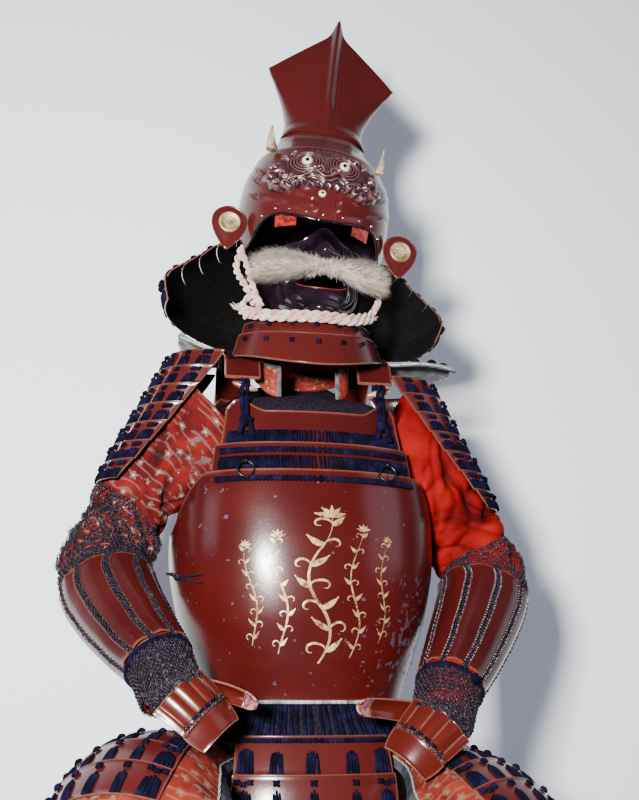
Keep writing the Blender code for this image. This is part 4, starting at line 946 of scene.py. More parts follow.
turn = sums(woven_flowers, "ARCTAN2", parts.outputs["Y"], parts.outputs["X"])
petals = sums(woven_flowers, "COSINE", sums(woven_flowers, "MULTIPLY", turn, 5.0))
reach = sums(woven_flowers, "MULTIPLY_ADD", petals, 0.05, 0.22)
link(sums(woven_flowers, "LESS_THAN", cells.outputs["Distance"], reach), ends_out.inputs["Flower"])
link(sums(woven_flowers, "LESS_THAN", cells.outputs["Distance"], 0.075), ends_out.inputs["Heart"])
tendril = node(woven_flowers, "ShaderNodeTexWave", Scale=0.55, Distortion=7.0, Detail=1.0, wave_type="RINGS")
link(scaled.outputs[0], tendril.inputs["Vector"])
link(sums(woven_flowers, "GREATER_THAN", tendril.outputs["Fac"], 0.86), ends_out.inputs["Vine"])


def brocade(name, scale, red, dark_red, thread, heart, frayed_patches=0.0):
    """Red silk with woven flowers, from a UV map in metres; returns the material, its tree and its base colour."""
    made, tree, shader = surface_material(name, 0.8)
    uv = node(tree, "ShaderNodeTexCoord")
    pattern = node(tree, "ShaderNodeGroup", node_tree=woven_flowers)
    pattern.inputs["Scale"].default_value = scale
    tree.links.new(uv.outputs["UV"], pattern.inputs["Vector"])
    worn = noise(tree, uv.outputs["Object"], 40, 5)
    ground = ramp(tree, noise(tree, uv.outputs["Object"], 25, 4), (0.36, dark_red), (0.62, red))
    if frayed_patches:
        rag = sums(tree, "GREATER_THAN", noise(tree, uv.outputs["Object"], 26, 8), 0.72 - frayed_patches)
        ground = blended(tree, sums(tree, "MULTIPLY", rag, 0.7), ground, (0.0832, 0.0676, 0.0728))
    kept = sums(tree, "GREATER_THAN", worn, 0.44)
    colour = blended(tree, sums(tree, "MULTIPLY", pattern.outputs["Vine"], sums(tree, "MULTIPLY", kept, 0.55)),
                     ground, thread)
    colour = blended(tree,
                     sums(tree, "MULTIPLY", pattern.outputs["Flower"], sums(tree, "MULTIPLY", kept, 0.85)),
                     colour, thread)
    colour = blended(tree, sums(tree, "MULTIPLY", pattern.outputs["Heart"], kept), colour, heart)
    # Painted shade: the silk is darkened towards purplish black in the sleeve's deep creases, by the point attribute
    # read here.
    painted_crease_shade = node(tree, "ShaderNodeAttribute", attribute_name="painted_crease_shade")
    colour = blended(tree, painted_crease_shade.outputs["Fac"], colour, (0.0052, 0.0021, 0.0036))
    tree.links.new(colour, shader.inputs["Base Color"])
    weave = node(tree, "ShaderNodeTexWave", Scale=500, Distortion=0.5)
    tree.links.new(uv.outputs["UV"], weave.inputs["Vector"])
    relief(tree, shader, sums(tree, "ADD", weave.outputs["Fac"], pattern.outputs["Flower"]), 0.35, 0.0005)
    return made, tree, shader, colour


def in_metres(obj, metres_u, metres_v):
    """Rescales a UV map so that it measures metres on the cloth."""
    for loop in obj.data.uv_layers.active.data:
        loop.uv = (loop.uv[0] * metres_u, loop.uv[1] * metres_v)


collar_silk, *_ = brocade("collar_brocade", 62, (0.31, 0.0279, 0.0186), (0.1352, 0.0114, 0.0094),
                          (0.1248, 0.0832, 0.052),
                          (0.248, 0.186, 0.0868), 0.04)
COLLAR = (0.0714, 0.083)                        # reach to the sides and to the front or back
YOKE_SPANS = ((-46, 46), (134, 226))            # the lining in front and behind, in degrees round the neck


def collar(degrees, v, out):
    a = math.radians(degrees)
    front = ease(math.cos(a) + 0.15)
    z = mix(-0.030, -0.078, front) + 0.044 * v
    lean = 0.0008 * math.sin(7 * a) * v
    return Vector((math.sin(a) * (COLLAR[0] + out + lean), -math.cos(a) * (COLLAR[1] + out + lean), z))


def yoke(degrees, v, out):
    """The lining between the collar's foot and the plates in front and behind."""
    foot = back_plate(degrees, 0.97, -0.0045) if 90 < degrees < 270 else chest_plate(degrees, 0.93, -0.0045)
    neck = collar(degrees, 0.03, -0.006)
    return neck.lerp(foot, v) + Vector((0, 0, 0.004 * math.sin(math.pi * v) + out))


black_cloth, tree, shader, place = clouded("black_backing", 0.9, (330, 4), (0.35, (0.0021, 0.0016, 0.0031)),
                                           (0.7, (0.0182, 0.0114, 0.0208)))
relief(tree, shader, noise(tree, place.outputs["Object"], 500, 2), 0.8, 0.0012)
lining = [laid_grid(f"yoke_{k}", yoke, even(first, last, 30), even(0, 1, 8))
          for k, (first, last) in enumerate(YOKE_SPANS)]
worn_by(joined("yoke_lining", lining), black_cloth, "red_brocade")
made = plate("collar_band", collar, even(38, 322, 90), even(0, 1, 12), 0.0045, (3, 0.1), -0.0003, 0.0014)
in_metres(made, 0.00134, 0.044)
worn_by(made, collar_silk, "red_brocade", "collar")
binding = Heap()
ring = [(38, v) for v in even(0, 1, 4)] + [(d, 1) for d in even(38, 322, 70)[1:]]
ring += [(322, v) for v in even(1, 0, 4)[1:]]
binding.tube([collar(d, v, -0.0021) for d, v in ring], 0.0030, 7)
worn_by(binding.made("collar_binding"), padded_cloth, "grey_cloth")


# Armoured sleeves: baggy silk sleeves lined with leather. Black mail is sewn over the elbow in a net that
# leaves windows of red silk, the forearm carries six ridged splints, and the cuff is close mail.
ARM = (
    (0, 0.1245, 0.000, -0.1060, 0.1008, 0.060),
    (1, 0.1560, 0.000, -0.136, 0.080, 0.060),
    (2, 0.1930, 0.003, -0.168, 0.067, 0.058),
    (3, 0.2290, 0.008, -0.214, 0.058, 0.055),
    (4, 0.2570, 0.012, -0.260, 0.058, 0.054),
    (5, 0.2740, 0.006, -0.305, 0.060, 0.055),
    (6, 0.2720, -0.022, -0.347, 0.060, 0.055),
    (7, 0.2560, -0.062, -0.381, 0.055, 0.051),
    (8, 0.2310, -0.114, -0.418, 0.047, 0.045),
    (9, 0.2060, -0.164, -0.453, 0.038, 0.037),
    (10, 0.1900, -0.194, -0.493, 0.035, 0.033),
)
LEFT_DROP = 0.024
LEFT_WRIST = Vector((-0.044, -0.003, -0.034))
SPLINT_SPAN, SPLINTS, SPLINT_EDGE, CORD_ALONG = (-218, 22), 6, 5.0, 9.0
KNOT_DEGREES = {"right": 60, "left": -70}


def arm_centre(s, along):
    _, x, y, z, _, _ = row_at(ARM, along)
    if s > 0:
        moved = LEFT_WRIST * ease((along - 5) / 5) - Vector((0.008 * bump(along, 3.2, 1.2), 0, 0))
        return Vector((x + moved.x, y + moved.y, z + moved.z - LEFT_DROP * max(0.0, 1 - along / 5)))
    return Vector((-x, y, z))


def arm(s, degrees, along, out=0.0):
    """A place on a sleeve: 0 degrees is the outer side of the bend, -90 its front."""
    centre = arm_centre(s, along)
    tangent = (arm_centre(s, along + 0.1) - arm_centre(s, along - 0.1)).normalized()
    back = Vector((0, 1, 0))
    back = (back - tangent * back.dot(tangent)).normalized()
    outer = tangent.cross(back) * s
    _, _, _, _, wide, deep = row_at(ARM, along)
    a = math.radians(degrees)
    return centre + outer * ((wide + out) * math.cos(a)) + back * ((deep + out) * math.sin(a))


# The sleeve's creases: waves round the arm, waves along it, phase, depth in metres.
CREASES = ((1, 2.1, 0.4, 0.0072), (2, 3.3, 1.9, 0.0060), (-2, 4.7, 3.1, 0.0044), (3, 2.6, 5.0, 0.0036),
           (1, 6.1, 2.2, 0.0030), (-3, 7.9, 0.7, 0.0020))
# Painted shade: creases deeper than the first value get darkened silk, fully so over the second.
CREASE_SHADE_DEPTH = (0.0042, 0.0072)                  # how deep a crease starts to look dark, and over what depth


def crease_depth(s, degrees, along):
    a = math.radians(degrees)
    bend = 0.9 * math.sin(2 * a + 1.3 * along + s) + 0.5 * math.sin(a - 2.1 * along)
    return sum(depth * (1 - abs(math.sin(round_ * a + down * along * 0.5 + phase + s * 0.8 + bend))) ** 3
               for round_, down, phase, depth in CREASES)


def looseness(along):
    """How loose the sleeve hangs: none at the shoulder's seam, all between the guard's top and the elbow."""
    return ease((along - 0.9) / 1.0) * (1 - ease((along - 5.1) / 0.8))


def sleeve_fold(s, degrees, along):
    deep = crease_depth(s, degrees, along)
    wave = 0.003 * ease(along / 1.5) * (1 - ease((along - 5.2) / 1.0)) * ease((along - 2.4) / 0.8)
    wave *= math.sin(3 * math.radians(degrees) + 2.6 * along)
    return wave + (0.0035 - 1.5 * deep) * looseness(along) + 0.0010


def black_link(heap, at, normal, along, radius=0.0024, wire=0.00062):
    """One round link of mail: a ring of six by three faces."""
    side = normal.cross(along).normalized()
    along = side.cross(normal).normalized()
    points, faces = [], []
    for i in range(6):
        a = math.pi / 3 * i
        spoke = along * math.cos(a) + side * math.sin(a)
        for k in range(3):
            b = 2 * math.pi / 3 * k
            points.append(at + spoke * (radius + wire * math.cos(b)) + normal * (wire * math.sin(b)))
    for i in range(6):
        for k in range(3):
            j, n = (i + 1) % 6, (k + 1) % 3
            faces.append((i * 3 + k, j * 3 + k, j * 3 + n, i * 3 + n))
    heap.add(points, faces)


def mail(heap, place, us, vs, rng, keep=lambda u, v: True, lift=0.0016, radius=0.0024):
    """Rows of links over a surface, every other one turned up on edge through its neighbours."""
    for j, v in enumerate(vs):
        for i, u in enumerate(us):
            if not keep(u, v):
                continue
            at = place(u, v, lift + rng.uniform(-0.0003, 0.0004))
            normal = (place(u, v, lift + 0.01) - at).normalized()
            along = place(u, v + 0.01, lift) - at
            if (i + j) % 2:
                normal = (normal * 0.55 + along.normalized().cross(normal) * 0.85).normalized()
            tilt = Vector((rng.uniform(-1, 1), rng.uniform(-1, 1), rng.uniform(-1, 1))) * 0.35
            black_link(heap, at, (normal + tilt).normalized(), along, radius)


RED_SILK, DARK_SILK = (0.1155, 0.0073, 0.0059), (0.0409, 0.0026, 0.003)
right_silk, tree, shader, colour = brocade("sleeve_brocade", 46, RED_SILK, DARK_SILK, (0.104, 0.0676, 0.0572),
                                           (0.32, 0.24, 0.17), 0.07)
left_silk, tree, shader = surface_material("vermilion_silk", 0.75)
place = node(tree, "ShaderNodeTexCoord")
silk = ramp(tree, noise(tree, place.outputs["Object"], 16, 4), (0.34, (0.0676, 0.001, 0.0016)),
            (0.66, (0.2046, 0.0037, 0.0031)))
# Painted shade: the same crease attribute darkens this silk in its deep creases.
painted_crease_shade = node(tree, "ShaderNodeAttribute", attribute_name="painted_crease_shade")
tree.links.new(blended(tree, painted_crease_shade.outputs["Fac"], silk, (0.0182, 0.001, 0.0021)), shader.inputs["Base Color"])
weave = node(tree, "ShaderNodeTexWave", Scale=520, Distortion=1.0)
tree.links.new(place.outputs["UV"], weave.inputs["Vector"])
relief(tree, shader, sums(tree, "ADD", weave.outputs["Fac"], noise(tree, place.outputs["Object"], 130, 4)), 0.3, 0.0006)
# The black mail's palest, reddish pink stop puts painted highlights on scattered spots of the links.
mail_iron, *_ = clouded("black_mail", 0.42, (260, 2), (0.4, (0.0042, 0.0031, 0.0073)),
                        (0.60, (0.0177, 0.0135, 0.027)), (0.74, (0.186, 0.0744, 0.0682)), Metallic=0.45)
thread_white, *_ = clouded("pale_stitches", 0.8, (200,), (0.4, (0.1456, 0.1352, 0.1456)),
                           (0.6, (0.3844, 0.372, 0.3844)))

for side, s in SIDES:
    def cloth(degrees, along, out):
        return arm(s, degrees, along, sleeve_fold(s, degrees, along) * (1 if along < 6 else 0.3) + out)

    rng = random.Random(31 + s)
    sleeve = laid_grid(f"sleeve_{side}", cloth, even(0, 360, 108), even(0, 10, 130))
    # The sleeve's deep creases get painted shade: a point attribute that darkens the silk there.
    marked(sleeve, "painted_crease_shade", lambda degrees, along: 0.85 * looseness(along)
           * ease((crease_depth(s, degrees, along) - CREASE_SHADE_DEPTH[0]) / CREASE_SHADE_DEPTH[1]))
    in_metres(sleeve, 0.00098, 0.056)
    apply_modifier(sleeve, "WELD", merge_threshold=0.0001)
    apply_modifier(sleeve, "SOLIDIFY", thickness=0.0018, offset=-1)
    sleeve.data.shade_smooth()
    worn_by(sleeve, right_silk if side == "right" else left_silk, "red_brocade",
            f"sleeve_{side}", f"forearm_sleeve_{side}")

    # The net's two sets of mail bands cross over the elbow; on the viewer's right it is a narrower patch.
    net = Heap()
    start, stop = (3.3, 5.9) if side == "right" else (4.6, 5.95)

    def in_net(degrees, along):
        a = (degrees + 360) % 360
        a = a - 360 if a > 180 else a
        edge = start + 0.75 * (abs(a + 60) / 105) ** 2
        if along < edge or abs(a + 60) > 118:
            return False
        x, y = (a + 200) * 0.00100, along * 0.052
        on_band = (x + y) % 0.0235 < 0.0105 or (x - y) % 0.0235 < 0.0105
        return on_band or along < edge + 0.16 or along > stop - 0.22

    columns = [(-178 + 3.7 * k) for k in range(64)]
    mail(net, cloth, columns, even(start, stop, int((stop - start) / 0.072)), rng, in_net, 0.0022, 0.0025)
    worn_by(net.made(f"elbow_mail_{side}"), mail_iron, "iron")

    # Six ridged splints with mail between them and a sewn edge beside each.
    splints, gaps, links, stitches = [], [], Heap(), Heap()
    wide = (SPLINT_SPAN[1] - SPLINT_SPAN[0]) / SPLINTS

    def splint(degrees, along, out):
        part = (degrees - SPLINT_SPAN[0]) / wide
        peak = 0.0032 * (1 - abs(2 * (part % 1.0) - 1)) ** 0.8
        return arm(s, degrees, along, PLATE + 2 * SEAM + peak + out)

    for k in range(SPLINTS):
        first = SPLINT_SPAN[0] + k * wide
        made = plate(f"splint_{side}_{k}", splint,
                     rimmed(first + SPLINT_EDGE, first + wide - SPLINT_EDGE, 12, 1.2), rimmed(6.05, 8.9, 22, 0.05),
                     0.0022, (1.2, 0.05), 0.0006, 0.0004)
        splints.append(made)
        for edge, lean in ((first + SPLINT_EDGE - 1.0, 1), (first + wide - SPLINT_EDGE + 1.0, -1)):
            for j in range(40):
                along = 6.1 + 2.75 * (j + 0.5) / 40
                run = [splint(edge + lean * 1.6 * (t - 0.5), along + 0.012 * t, 0.0003) for t in (0, 0.5, 1)]
                stitches.tube(run, 0.00062, 4)
    for k in range(SPLINTS + 1):
        middle = SPLINT_SPAN[0] + k * wide
        gaps.append(laid_grid(f"gap_{side}_{k}", lambda d, v, out: arm(s, d, v, 0.0022 + out),
                              even(middle - 5, middle + 5, 6),
                              even(5.95, 9.0, 30)))
        mail(links, lambda d, v, out: arm(s, d, v, 0.0030 + out), [middle - 3.2, middle, middle + 3.2],
             even(5.98, 8.98, 54), rng,
             lift=0.0020, radius=0.0024)
    worn_by(joined(f"splints_{side}", splints), red_lacquer, "red_lacquer", f"forearm_splints_{side}")
    worn_by(joined(f"splint_backing_{side}", gaps), black_cloth, "red_brocade")
    worn_by(links.made(f"splint_mail_{side}"), mail_iron, "iron")
    worn_by(stitches.made(f"splint_stitches_{side}"), thread_white if side == "left" else black_cord, "navy_braid")

    # The cuff: close mail over black cloth, which goes on as the glove's back, and an indigo cord at the wrist.
    cuff = Heap()
    backing = laid_grid(f"cuff_backing_{side}", lambda d, v, out: cloth(d, v, 0.0018 + out), even(0, 360, 108),
                        even(9.0, 9.99, 20))
    apply_modifier(backing, "WELD", merge_threshold=0.0001)
    worn_by(backing, black_cloth, "red_brocade")
    mail(cuff, cloth, even(-180, 175, 71), even(9.02, 9.98, 17), rng, lift=0.0030, radius=0.0026)
    worn_by(cuff.made(f"cuff_mail_{side}"), mail_iron, "iron")
    cord = Heap()
    run = [arm(s, d, CORD_ALONG, 0.0028 + 1.8 * SEAM) for d in even(60, 405, 60)]
    twisted(cord, run, 0.0040, 3, 60, 6)
    tied = arm(s, KNOT_DEGREES[side], CORD_ALONG, 0.004)
    knotted(cord, tied, (0.2, 1.4, 2.5), (0.007, 0.007), -0.003, 0.0030)
    worn_by(cord.made(f"wrist_tie_{side}"), indigo_silk, "navy_braid", f"wrist_cord_{side}")


# Hand guards: a fluted lacquered plate over the back of the hand, edged with indigo stitches, then a band
# of mail, a plate over the fingers and a separate one over the thumb, all sewn to a leather glove back.
HAND_DIRECTION = Vector((0.66, -0.24, -0.58)).normalized()
HAND_NORMAL = Vector((0.10, -0.85, 0.47)).normalized()
HAND_HALF, HAND_LONG, FINGER_LONG, HAND_START, HAND_LIFT, HAND_BULGE = 0.043, 0.047, 0.030, 0.004, 0.0346, 0.020
THUMB_HALF, THUMB_ROOT = 0.0145, -199
THUMB_TIP = {"right": (-0.088, -0.216, -0.500), "left": (0.032, -0.216, -0.504)}
THUMB_SEAM = {"right": 1.3 * SEAM, "left": 0.7 * SEAM}


def hand_frame(s):
    flip = Vector((-s, 1, 1))
    along = Vector(a * b for a, b in zip(HAND_DIRECTION, flip)).normalized()
    up = Vector(a * b for a, b in zip(HAND_NORMAL, flip))
    up = (up - along * up.dot(along)).normalized()
    return along, up, along.cross(up)


def hand(s, u, reach, out=0.0):
    along, up, across = hand_frame(s)
    fall = 0.55 * (reach / 0.10) ** 2 * 0.045
    base = arm_centre(s, 10) + up * HAND_LIFT
    return base + along * reach + across * (HAND_HALF * u) + up * (out - fall - HAND_BULGE * u * u)


def stitch(heap, place, u, v, half_u=0.0, half_v=0.0, foot=0.0003):
    """One stitch on a surface, from edge to edge of its own length along u or v."""
    heap.tube([place(u - half_u, v - half_v, foot), place(u, v, 0.0010), place(u + half_u, v + half_v, foot)],
              0.0006, 4)


def worn_lines(obj, strength):
    """Marks more places of a plate as rubbed; strength works on its UV map."""
    worn = obj.data.attributes["rim"].data
    uv = obj.data.uv_layers.active.data
    for loop in obj.data.loops:
        u, v = uv[loop.index].uv
        worn[loop.vertex_index].value = max(worn[loop.vertex_index].value, strength(u, v))


hand_lacquer, *_ = lacquered("hand_lacquer", (0.0636, 0.0067, 0.0041), (0.0337, 0.003, 0.0022),
                             (0.187, 0.0823, 0.0524), 0.9)
pink_leather, *_ = clouded("pink_leather", 0.6, (140, 5), (0.36, (0.0832, 0.0182, 0.0234)),
                           (0.6, (0.2852, 0.124, 0.124)))

for side, s in SIDES:
    def back(u, v, out):
        flute = 0.0034 * abs(math.cos(math.pi * 2 * u)) ** 0.7
        return hand(s, u * mix(1.0, 0.88, v), mix(HAND_START, HAND_LONG, v), flute + out)

    made = plate(f"hand_back_{side}", back, rimmed(-1, 1, 64, 0.04), rimmed(0, 1, 16, 0.03), 0.0024, (0.04, 0.03))
    worn_lines(made,
               lambda u, v: 0.75 * max(bump(abs(u), 0.25, 0.022), bump(abs(u), 0.75, 0.022)) * ease((0.9 - v) / 0.2))
    worn_by(made, hand_lacquer, "red_lacquer", f"hand_guard_{side}")

    def fingers(u, v, out):
        return hand(s, u * mix(0.88, 0.72, v * v), HAND_LONG + 2 * SEAM + FINGER_LONG * v, 0.002 + out)

    made = plate(f"finger_plate_{side}", fingers, rimmed(-1, 1, 28, 0.06), rimmed(0, 1, 12, 0.08), 0.0026,
                 (0.07, 0.10), 0.0010)
    worn_by(made, hand_lacquer, "red_lacquer", f"finger_guard_{side}")

    start = arm(s, THUMB_ROOT, 9.75, PLATE + THUMB_SEAM[side])
    tip = Vector(THUMB_TIP[side])
    outward = (start - arm_centre(s, 9.75)).normalized()
    lean = tip - start
    wide = outward.cross(lean).normalized()
    outward = lean.cross(wide).normalized()

    def thumb(u, v, out):
        half = THUMB_HALF * (mix(1.0, 0.80, v) * math.sqrt(max(1 - (max(v - 0.8, 0) / 0.24) ** 2, 0.05)))
        arch = 0.006 * math.sin(math.pi * v) - 0.006 * u * u
        return start + lean * v + wide * (u * half) + outward * (arch + out)

    made = plate(f"thumb_plate_{side}", thumb, rimmed(-1, 1, 14, 0.10), rimmed(0, 0.76, 16, 0.03), 0.0026, (0.12, 0.03))
    worn_by(made, hand_lacquer, "red_lacquer", f"thumb_guard_{side}")
    cap = plate(f"thumb_cap_{side}", thumb, even(-1, 1, 14), even(0.78, 1, 10), 0.0026, (0.2, 0.06), 0.0004)
    worn_by(cap, pink_leather, "red_lacquer")

    # The glove's back between the cuff and the plate, covered with mail.
    turn = min((1, -1), key=lambda k: (arm(s, -90 + 70 * k, 10) - hand(s, 1, 0)).length)

    def glove(u, v, out):
        wrist, knuckles = arm(s, -90 + 72 * turn * u, 9.93, 0.001), hand(s, 0.94 * u, 0.010, -0.0035)
        return wrist.lerp(knuckles, v) + hand_frame(s)[1] * (0.004 * math.sin(math.pi * v) + out)

    worn_by(laid_grid(f"glove_back_{side}", glove, even(-1, 1, 30), even(0, 1, 8)), black_cloth, "red_brocade")
    sewn, links, rng = Heap(), Heap(), random.Random(41)
    mail(links, glove, even(-0.97, 0.97, 25), even(0.06, 0.86, 6), rng, lift=0.0016, radius=0.0024)
    for k in range(18):
        u = mix(-0.85, 0.85, (k + 0.5) / 18)
        stitch(sewn, fingers, u, 0.94, 0.014, foot=0.0004)
        stitch(sewn, fingers, u, 0.06, 0.014, foot=0.0004)
        sewn.tube([back(u - 0.01, 0.97, 0.0), back(u, 0.985, 0.0016), back(u + 0.01, 1.0, 0.0)], 0.0008, 4)
    for u in (-0.42, -0.14, 0.14, 0.42):
        sewn.tube([back(u + k * 0.09, 0.93, 0.0012) for k in (-1, -0.5, 0, 0.5, 1)], 0.0017, 6)
    for u in (-0.85, -0.3, 0.3, 0.85):
        sewn.tube([thumb(u, 0.70 + 0.03 * k, 0.0014) for k in (-1, 0, 1)], 0.0024, 6)
    for k in range(14):
        for u in (-0.9, 0.9):
            stitch(sewn, thumb, u, 0.04 + 0.68 * k / 13, half_v=0.010)
    worn_by(sewn.made(f"hand_stitches_{side}"), indigo_silk, "navy_braid")
    mail(links, lambda u, v, out: hand(s, u, v, 0.0012 + out), even(-0.84, 0.84, 24),
         (HAND_LONG - 0.003, HAND_LONG + 0.001), rng,
         lift=0.0012, radius=0.0019)
    worn_by(links.made(f"knuckle_mail_{side}"), mail_iron, "iron")


# Shoulder guards: seven lacquered lames each, in a front corner plate and a side plate, laced with silk.
SODE = (
    (0, -0.012, 0.200, 0.0771, 0.066, 90),
    (1, -0.036, 0.213, 0.075, 0.069, 90),
    (2, -0.064, 0.228, 0.075, 0.070, 87),
    (3, -0.092, 0.242, 0.074, 0.070, 83),
    (4, -0.120, 0.257, 0.074, 0.070, 79),
    (5, -0.148, 0.272, 0.074, 0.069, 73),
    (6, -0.174, 0.2832, 0.074, 0.068, 65),
    (7, -0.200, 0.2953, 0.074, 0.067, 54),
)
SODE_LAMES, SODE_DROP, SODE_SPREAD, STEP = 7, 0.026, 0.0030, 0.003


def sode(s, part, lame, out=0.0):
    _, z, outer, wide, deep, span = row_at(SODE, lame)
    a = math.radians(part * span)
    outer += SODE_SPREAD * ease((lame - 3) / 4) if s > 0 else 0.0
    return Vector((s * (outer - wide + (wide + out) * power(math.cos(a), 0.85)),
                   0.002 + (deep + out) * power(math.sin(a), 0.85), z - (SODE_DROP if s > 0 else 0.0)))


def lame_at(place, i, last):
    """One lame of a laced panel: its top edge stands out over the lame above, its foot goes under the next."""
    def lame(u, v, out):
        return place(u, min(i + v, last), out + STEP * (1 - min(v / 0.9, 1)) - 0.0004 * ease((v - 0.9) / 0.1))
    return lame


lame_lacquer, *_ = lacquered("lame_lacquer", (0.0573, 0.0076, 0.006), (0.0355, 0.0041, 0.0041),
                             (0.1255, 0.0546, 0.0355), 0.85)
for side, s in SIDES:
    def guard(part, v, out):
        return sode(s, part, v, out)

    lames, laces, rng = [], Heap(), random.Random(51 + s)
    for i in range(SODE_LAMES):
        foot = 1.0 if i == SODE_LAMES - 1 else 1.03
        for first, last, count in ((-1, -0.505, 12), (-0.495, 1, 26)):
            lames.append(plate(f"lame_{side}_{i}", lame_at(guard, i, SODE_LAMES), rimmed(first, last, count, 0.018),
                               rimmed(0, foot, 6, 0.05), 0.0024, (0.020, 0.07), 0.0008, 0.0004))
        lame = lame_at(guard, i, SODE_LAMES)
        for k, part in enumerate((-0.86, -0.62, -0.38, -0.19, 0.0, 0.19, 0.38, 0.57, 0.76, 0.92)):
            cords = 3 if k == 0 else 2
            for shift in ((-0.0032, 0.0032) if k == 0 else (0,)):
                pace_u, _ = pace(lame, part, 0.3)
                lump(laces, lame, part + shift / pace_u, 0.25, 0.0032, 0.0026, 0.0032)
            strip(laces, lame, part, 0.42, 0.97, cords + 1, rng, 0.0050)
    worn_by(joined(f"shoulder_lames_{side}", lames), lame_lacquer, "red_lacquer", f"shoulder_guard_{side}")
    worn_by(laces.made(f"shoulder_lacing_{side}"), indigo_silk, "navy_braid")


# Skirt: upright silk cords hang seven tassets from the cuirass; each tasset is five laced lames.
SKIRT = (
    (-0.780, 0.222, 0.196, 0.195),
    (-0.660, 0.197, 0.176, 0.168),
    (-0.600, 0.180, 0.162, 0.150),
    (-0.545, 0.160, 0.140, 0.128),
    (-0.505, 0.1375, 0.1125, 0.1045),
    (-0.488, 0.1375, 0.1125, 0.1045),
)
LACING_Z, LAMES, LAME_TALL, PANEL_TOP_Z, PANEL_OUT = (-0.548, -0.490), 5, 0.046, -0.541, 0.0025
HUNG_PANELS = (("front", -35.5, 31), ("right_hip", -126, -84), ("left_hip", 84, 126), ("right_back", -177, -131),
               ("left_back", 131, 177))


def skirt(degrees, z, out=0.0):
    return oval(SKIRT, degrees, z, out)


backing = laid_grid("waist_backing", lambda d, z, out: skirt(d, z, out - 0.0012), even(-180, 180, 96),
                    even(*LACING_Z, 8))
apply_modifier(backing, "SOLIDIFY", thickness=0.0015, offset=-1)
worn_by(backing, black_cloth, "navy_braid", "skirt_lacing")
waist, rng = Heap(), random.Random(61)
for k in range(64):
    for shift in (-1.15, 1.15):
        d = -180 + 360 * (k + 0.5) / 64 + shift
        waist.tube([skirt(d + rng.uniform(-0.1, 0.1), mix(*LACING_Z, i / 6), 0.0005
                          + 0.0007 * math.sin(math.pi * i / 6))
                    for i in range(7)], 0.0029, 7, 0.75)
worn_by(waist.made("waist_lacing"), indigo_silk, "navy_braid")


def tasset(name, panel, first, last, count, rim_u, corners, groups, braid=True, seed=71):
    """A laced panel: its lames, the ties of each lame and a braid along its top edge."""
    lames, laces, rng = [], Heap(), random.Random(seed)
    for i in range(LAMES):
        lame = lame_at(panel, i, LAMES)
        lames.append(plate(f"{name}_lame_{i}", lame, rimmed(first, last, count, rim_u),
                           rimmed(0, 1.0 if i == LAMES - 1 else 1.03, 9, 0.04),
                           0.0024, (rim_u, 0.045), 0.0009, 0.0005))
        top = 0.20 if braid and i == 0 else 0.0
        for u in corners:
            pace_u, _ = pace(lame, u, 0.5)
            for across, drop in ((-0.0085, 0.0), (0.0, 0.05), (0.0085, 0.0)):
                if not (braid and i == 0):
                    lump(laces, lame, u + across / pace_u, 0.19 + drop, 0.0035, 0.0028, 0.0032)
            strip(laces, lame, u, mix(0.36, 0.30, top * 5), 0.98, 5, rng, 0.0046)
        for u in groups:
            if not (braid and i == 0):
                lump(laces, lame, u, 0.21, 0.0038, 0.0032, 0.0034)
            strip(laces, lame, u, 0.36, 0.98, 3 if i else 4, rng, 0.0044)
    if braid:
        lame = lame_at(panel, 0, LAMES)
        pace_u, _ = pace(lame, (first + last) / 2, 0.1)
        count = int((last - first) * pace_u / 0.0062)
        for i in range(count):
            a, b = mix(first, last, i / count), mix(first, last, min((i + 1.35) / count, 1))
            for sign in (1, -1):
                laces.tube([lame(mix(a, b, k / 4), 0.13 + sign * 0.05 * (k / 4 - 0.5), 0.0018
                                 + 0.0008 * math.sin(math.pi * k / 4))
                            for k in range(5)], 0.0024, 6)
    return joined(f"{name}_lames", lames), laces.made(f"{name}_lacing")


for name, first, last in HUNG_PANELS:
    def panel(degrees, v, out):
        narrow = 1 - 0.045 * v if name == "front" else 1.0
        return skirt(degrees * narrow, PANEL_TOP_Z - v * LAME_TALL, PANEL_OUT + out)

    span = last - first
    lames, laces = tasset(f"tasset_{name}", panel, first, last, 30, 0.8, (first + 0.09 * span, last - 0.09 * span),
                          [first + span * f for f in (0.30, 0.50, 0.70)])
    worn_by(lames, lame_lacquer, "red_lacquer", f"tasset_{name}")
    worn_by(laces, indigo_silk, "navy_braid")


# Thigh guards: brocade aprons bordered with grey linen and a black and white cord; a laced tasset lies on each.
THIGH = (
    (0, -0.1245, -0.0770, -0.5508, 0.040, 62),
    (1, -0.166, -0.125, -0.5535, 0.064, 64),
    (2, -0.200, -0.180, -0.556, 0.098, 64),
    (3, -0.232, -0.235, -0.578, 0.118, 68),
    (4, -0.260, -0.285, -0.623, 0.122, 70),
    (5, -0.275, -0.313, -0.686, 0.118, 74),
    (6, -0.281, -0.324, -0.760, 0.112, 74),
    (7, -0.284, -0.329, -0.840, 0.112, 72),
)
THIGH_CROSS = ((0, 0.96, -0.28), (2, 0.88, -0.475), (4, 0.80, -0.60), (7, 0.78, -0.62))
THIGH_MOVE = {-1: Vector((0.010, 0.0, 0.018)), 1: Vector((-0.022, 0.0, -0.008))}
THIGH_SEAT = {-1: Vector((0.0, 0.0, 0.0004)), 1: Vector((0.0, 0.0, 0.0024))}
THIGH_PANEL = (0.55, 3.85)


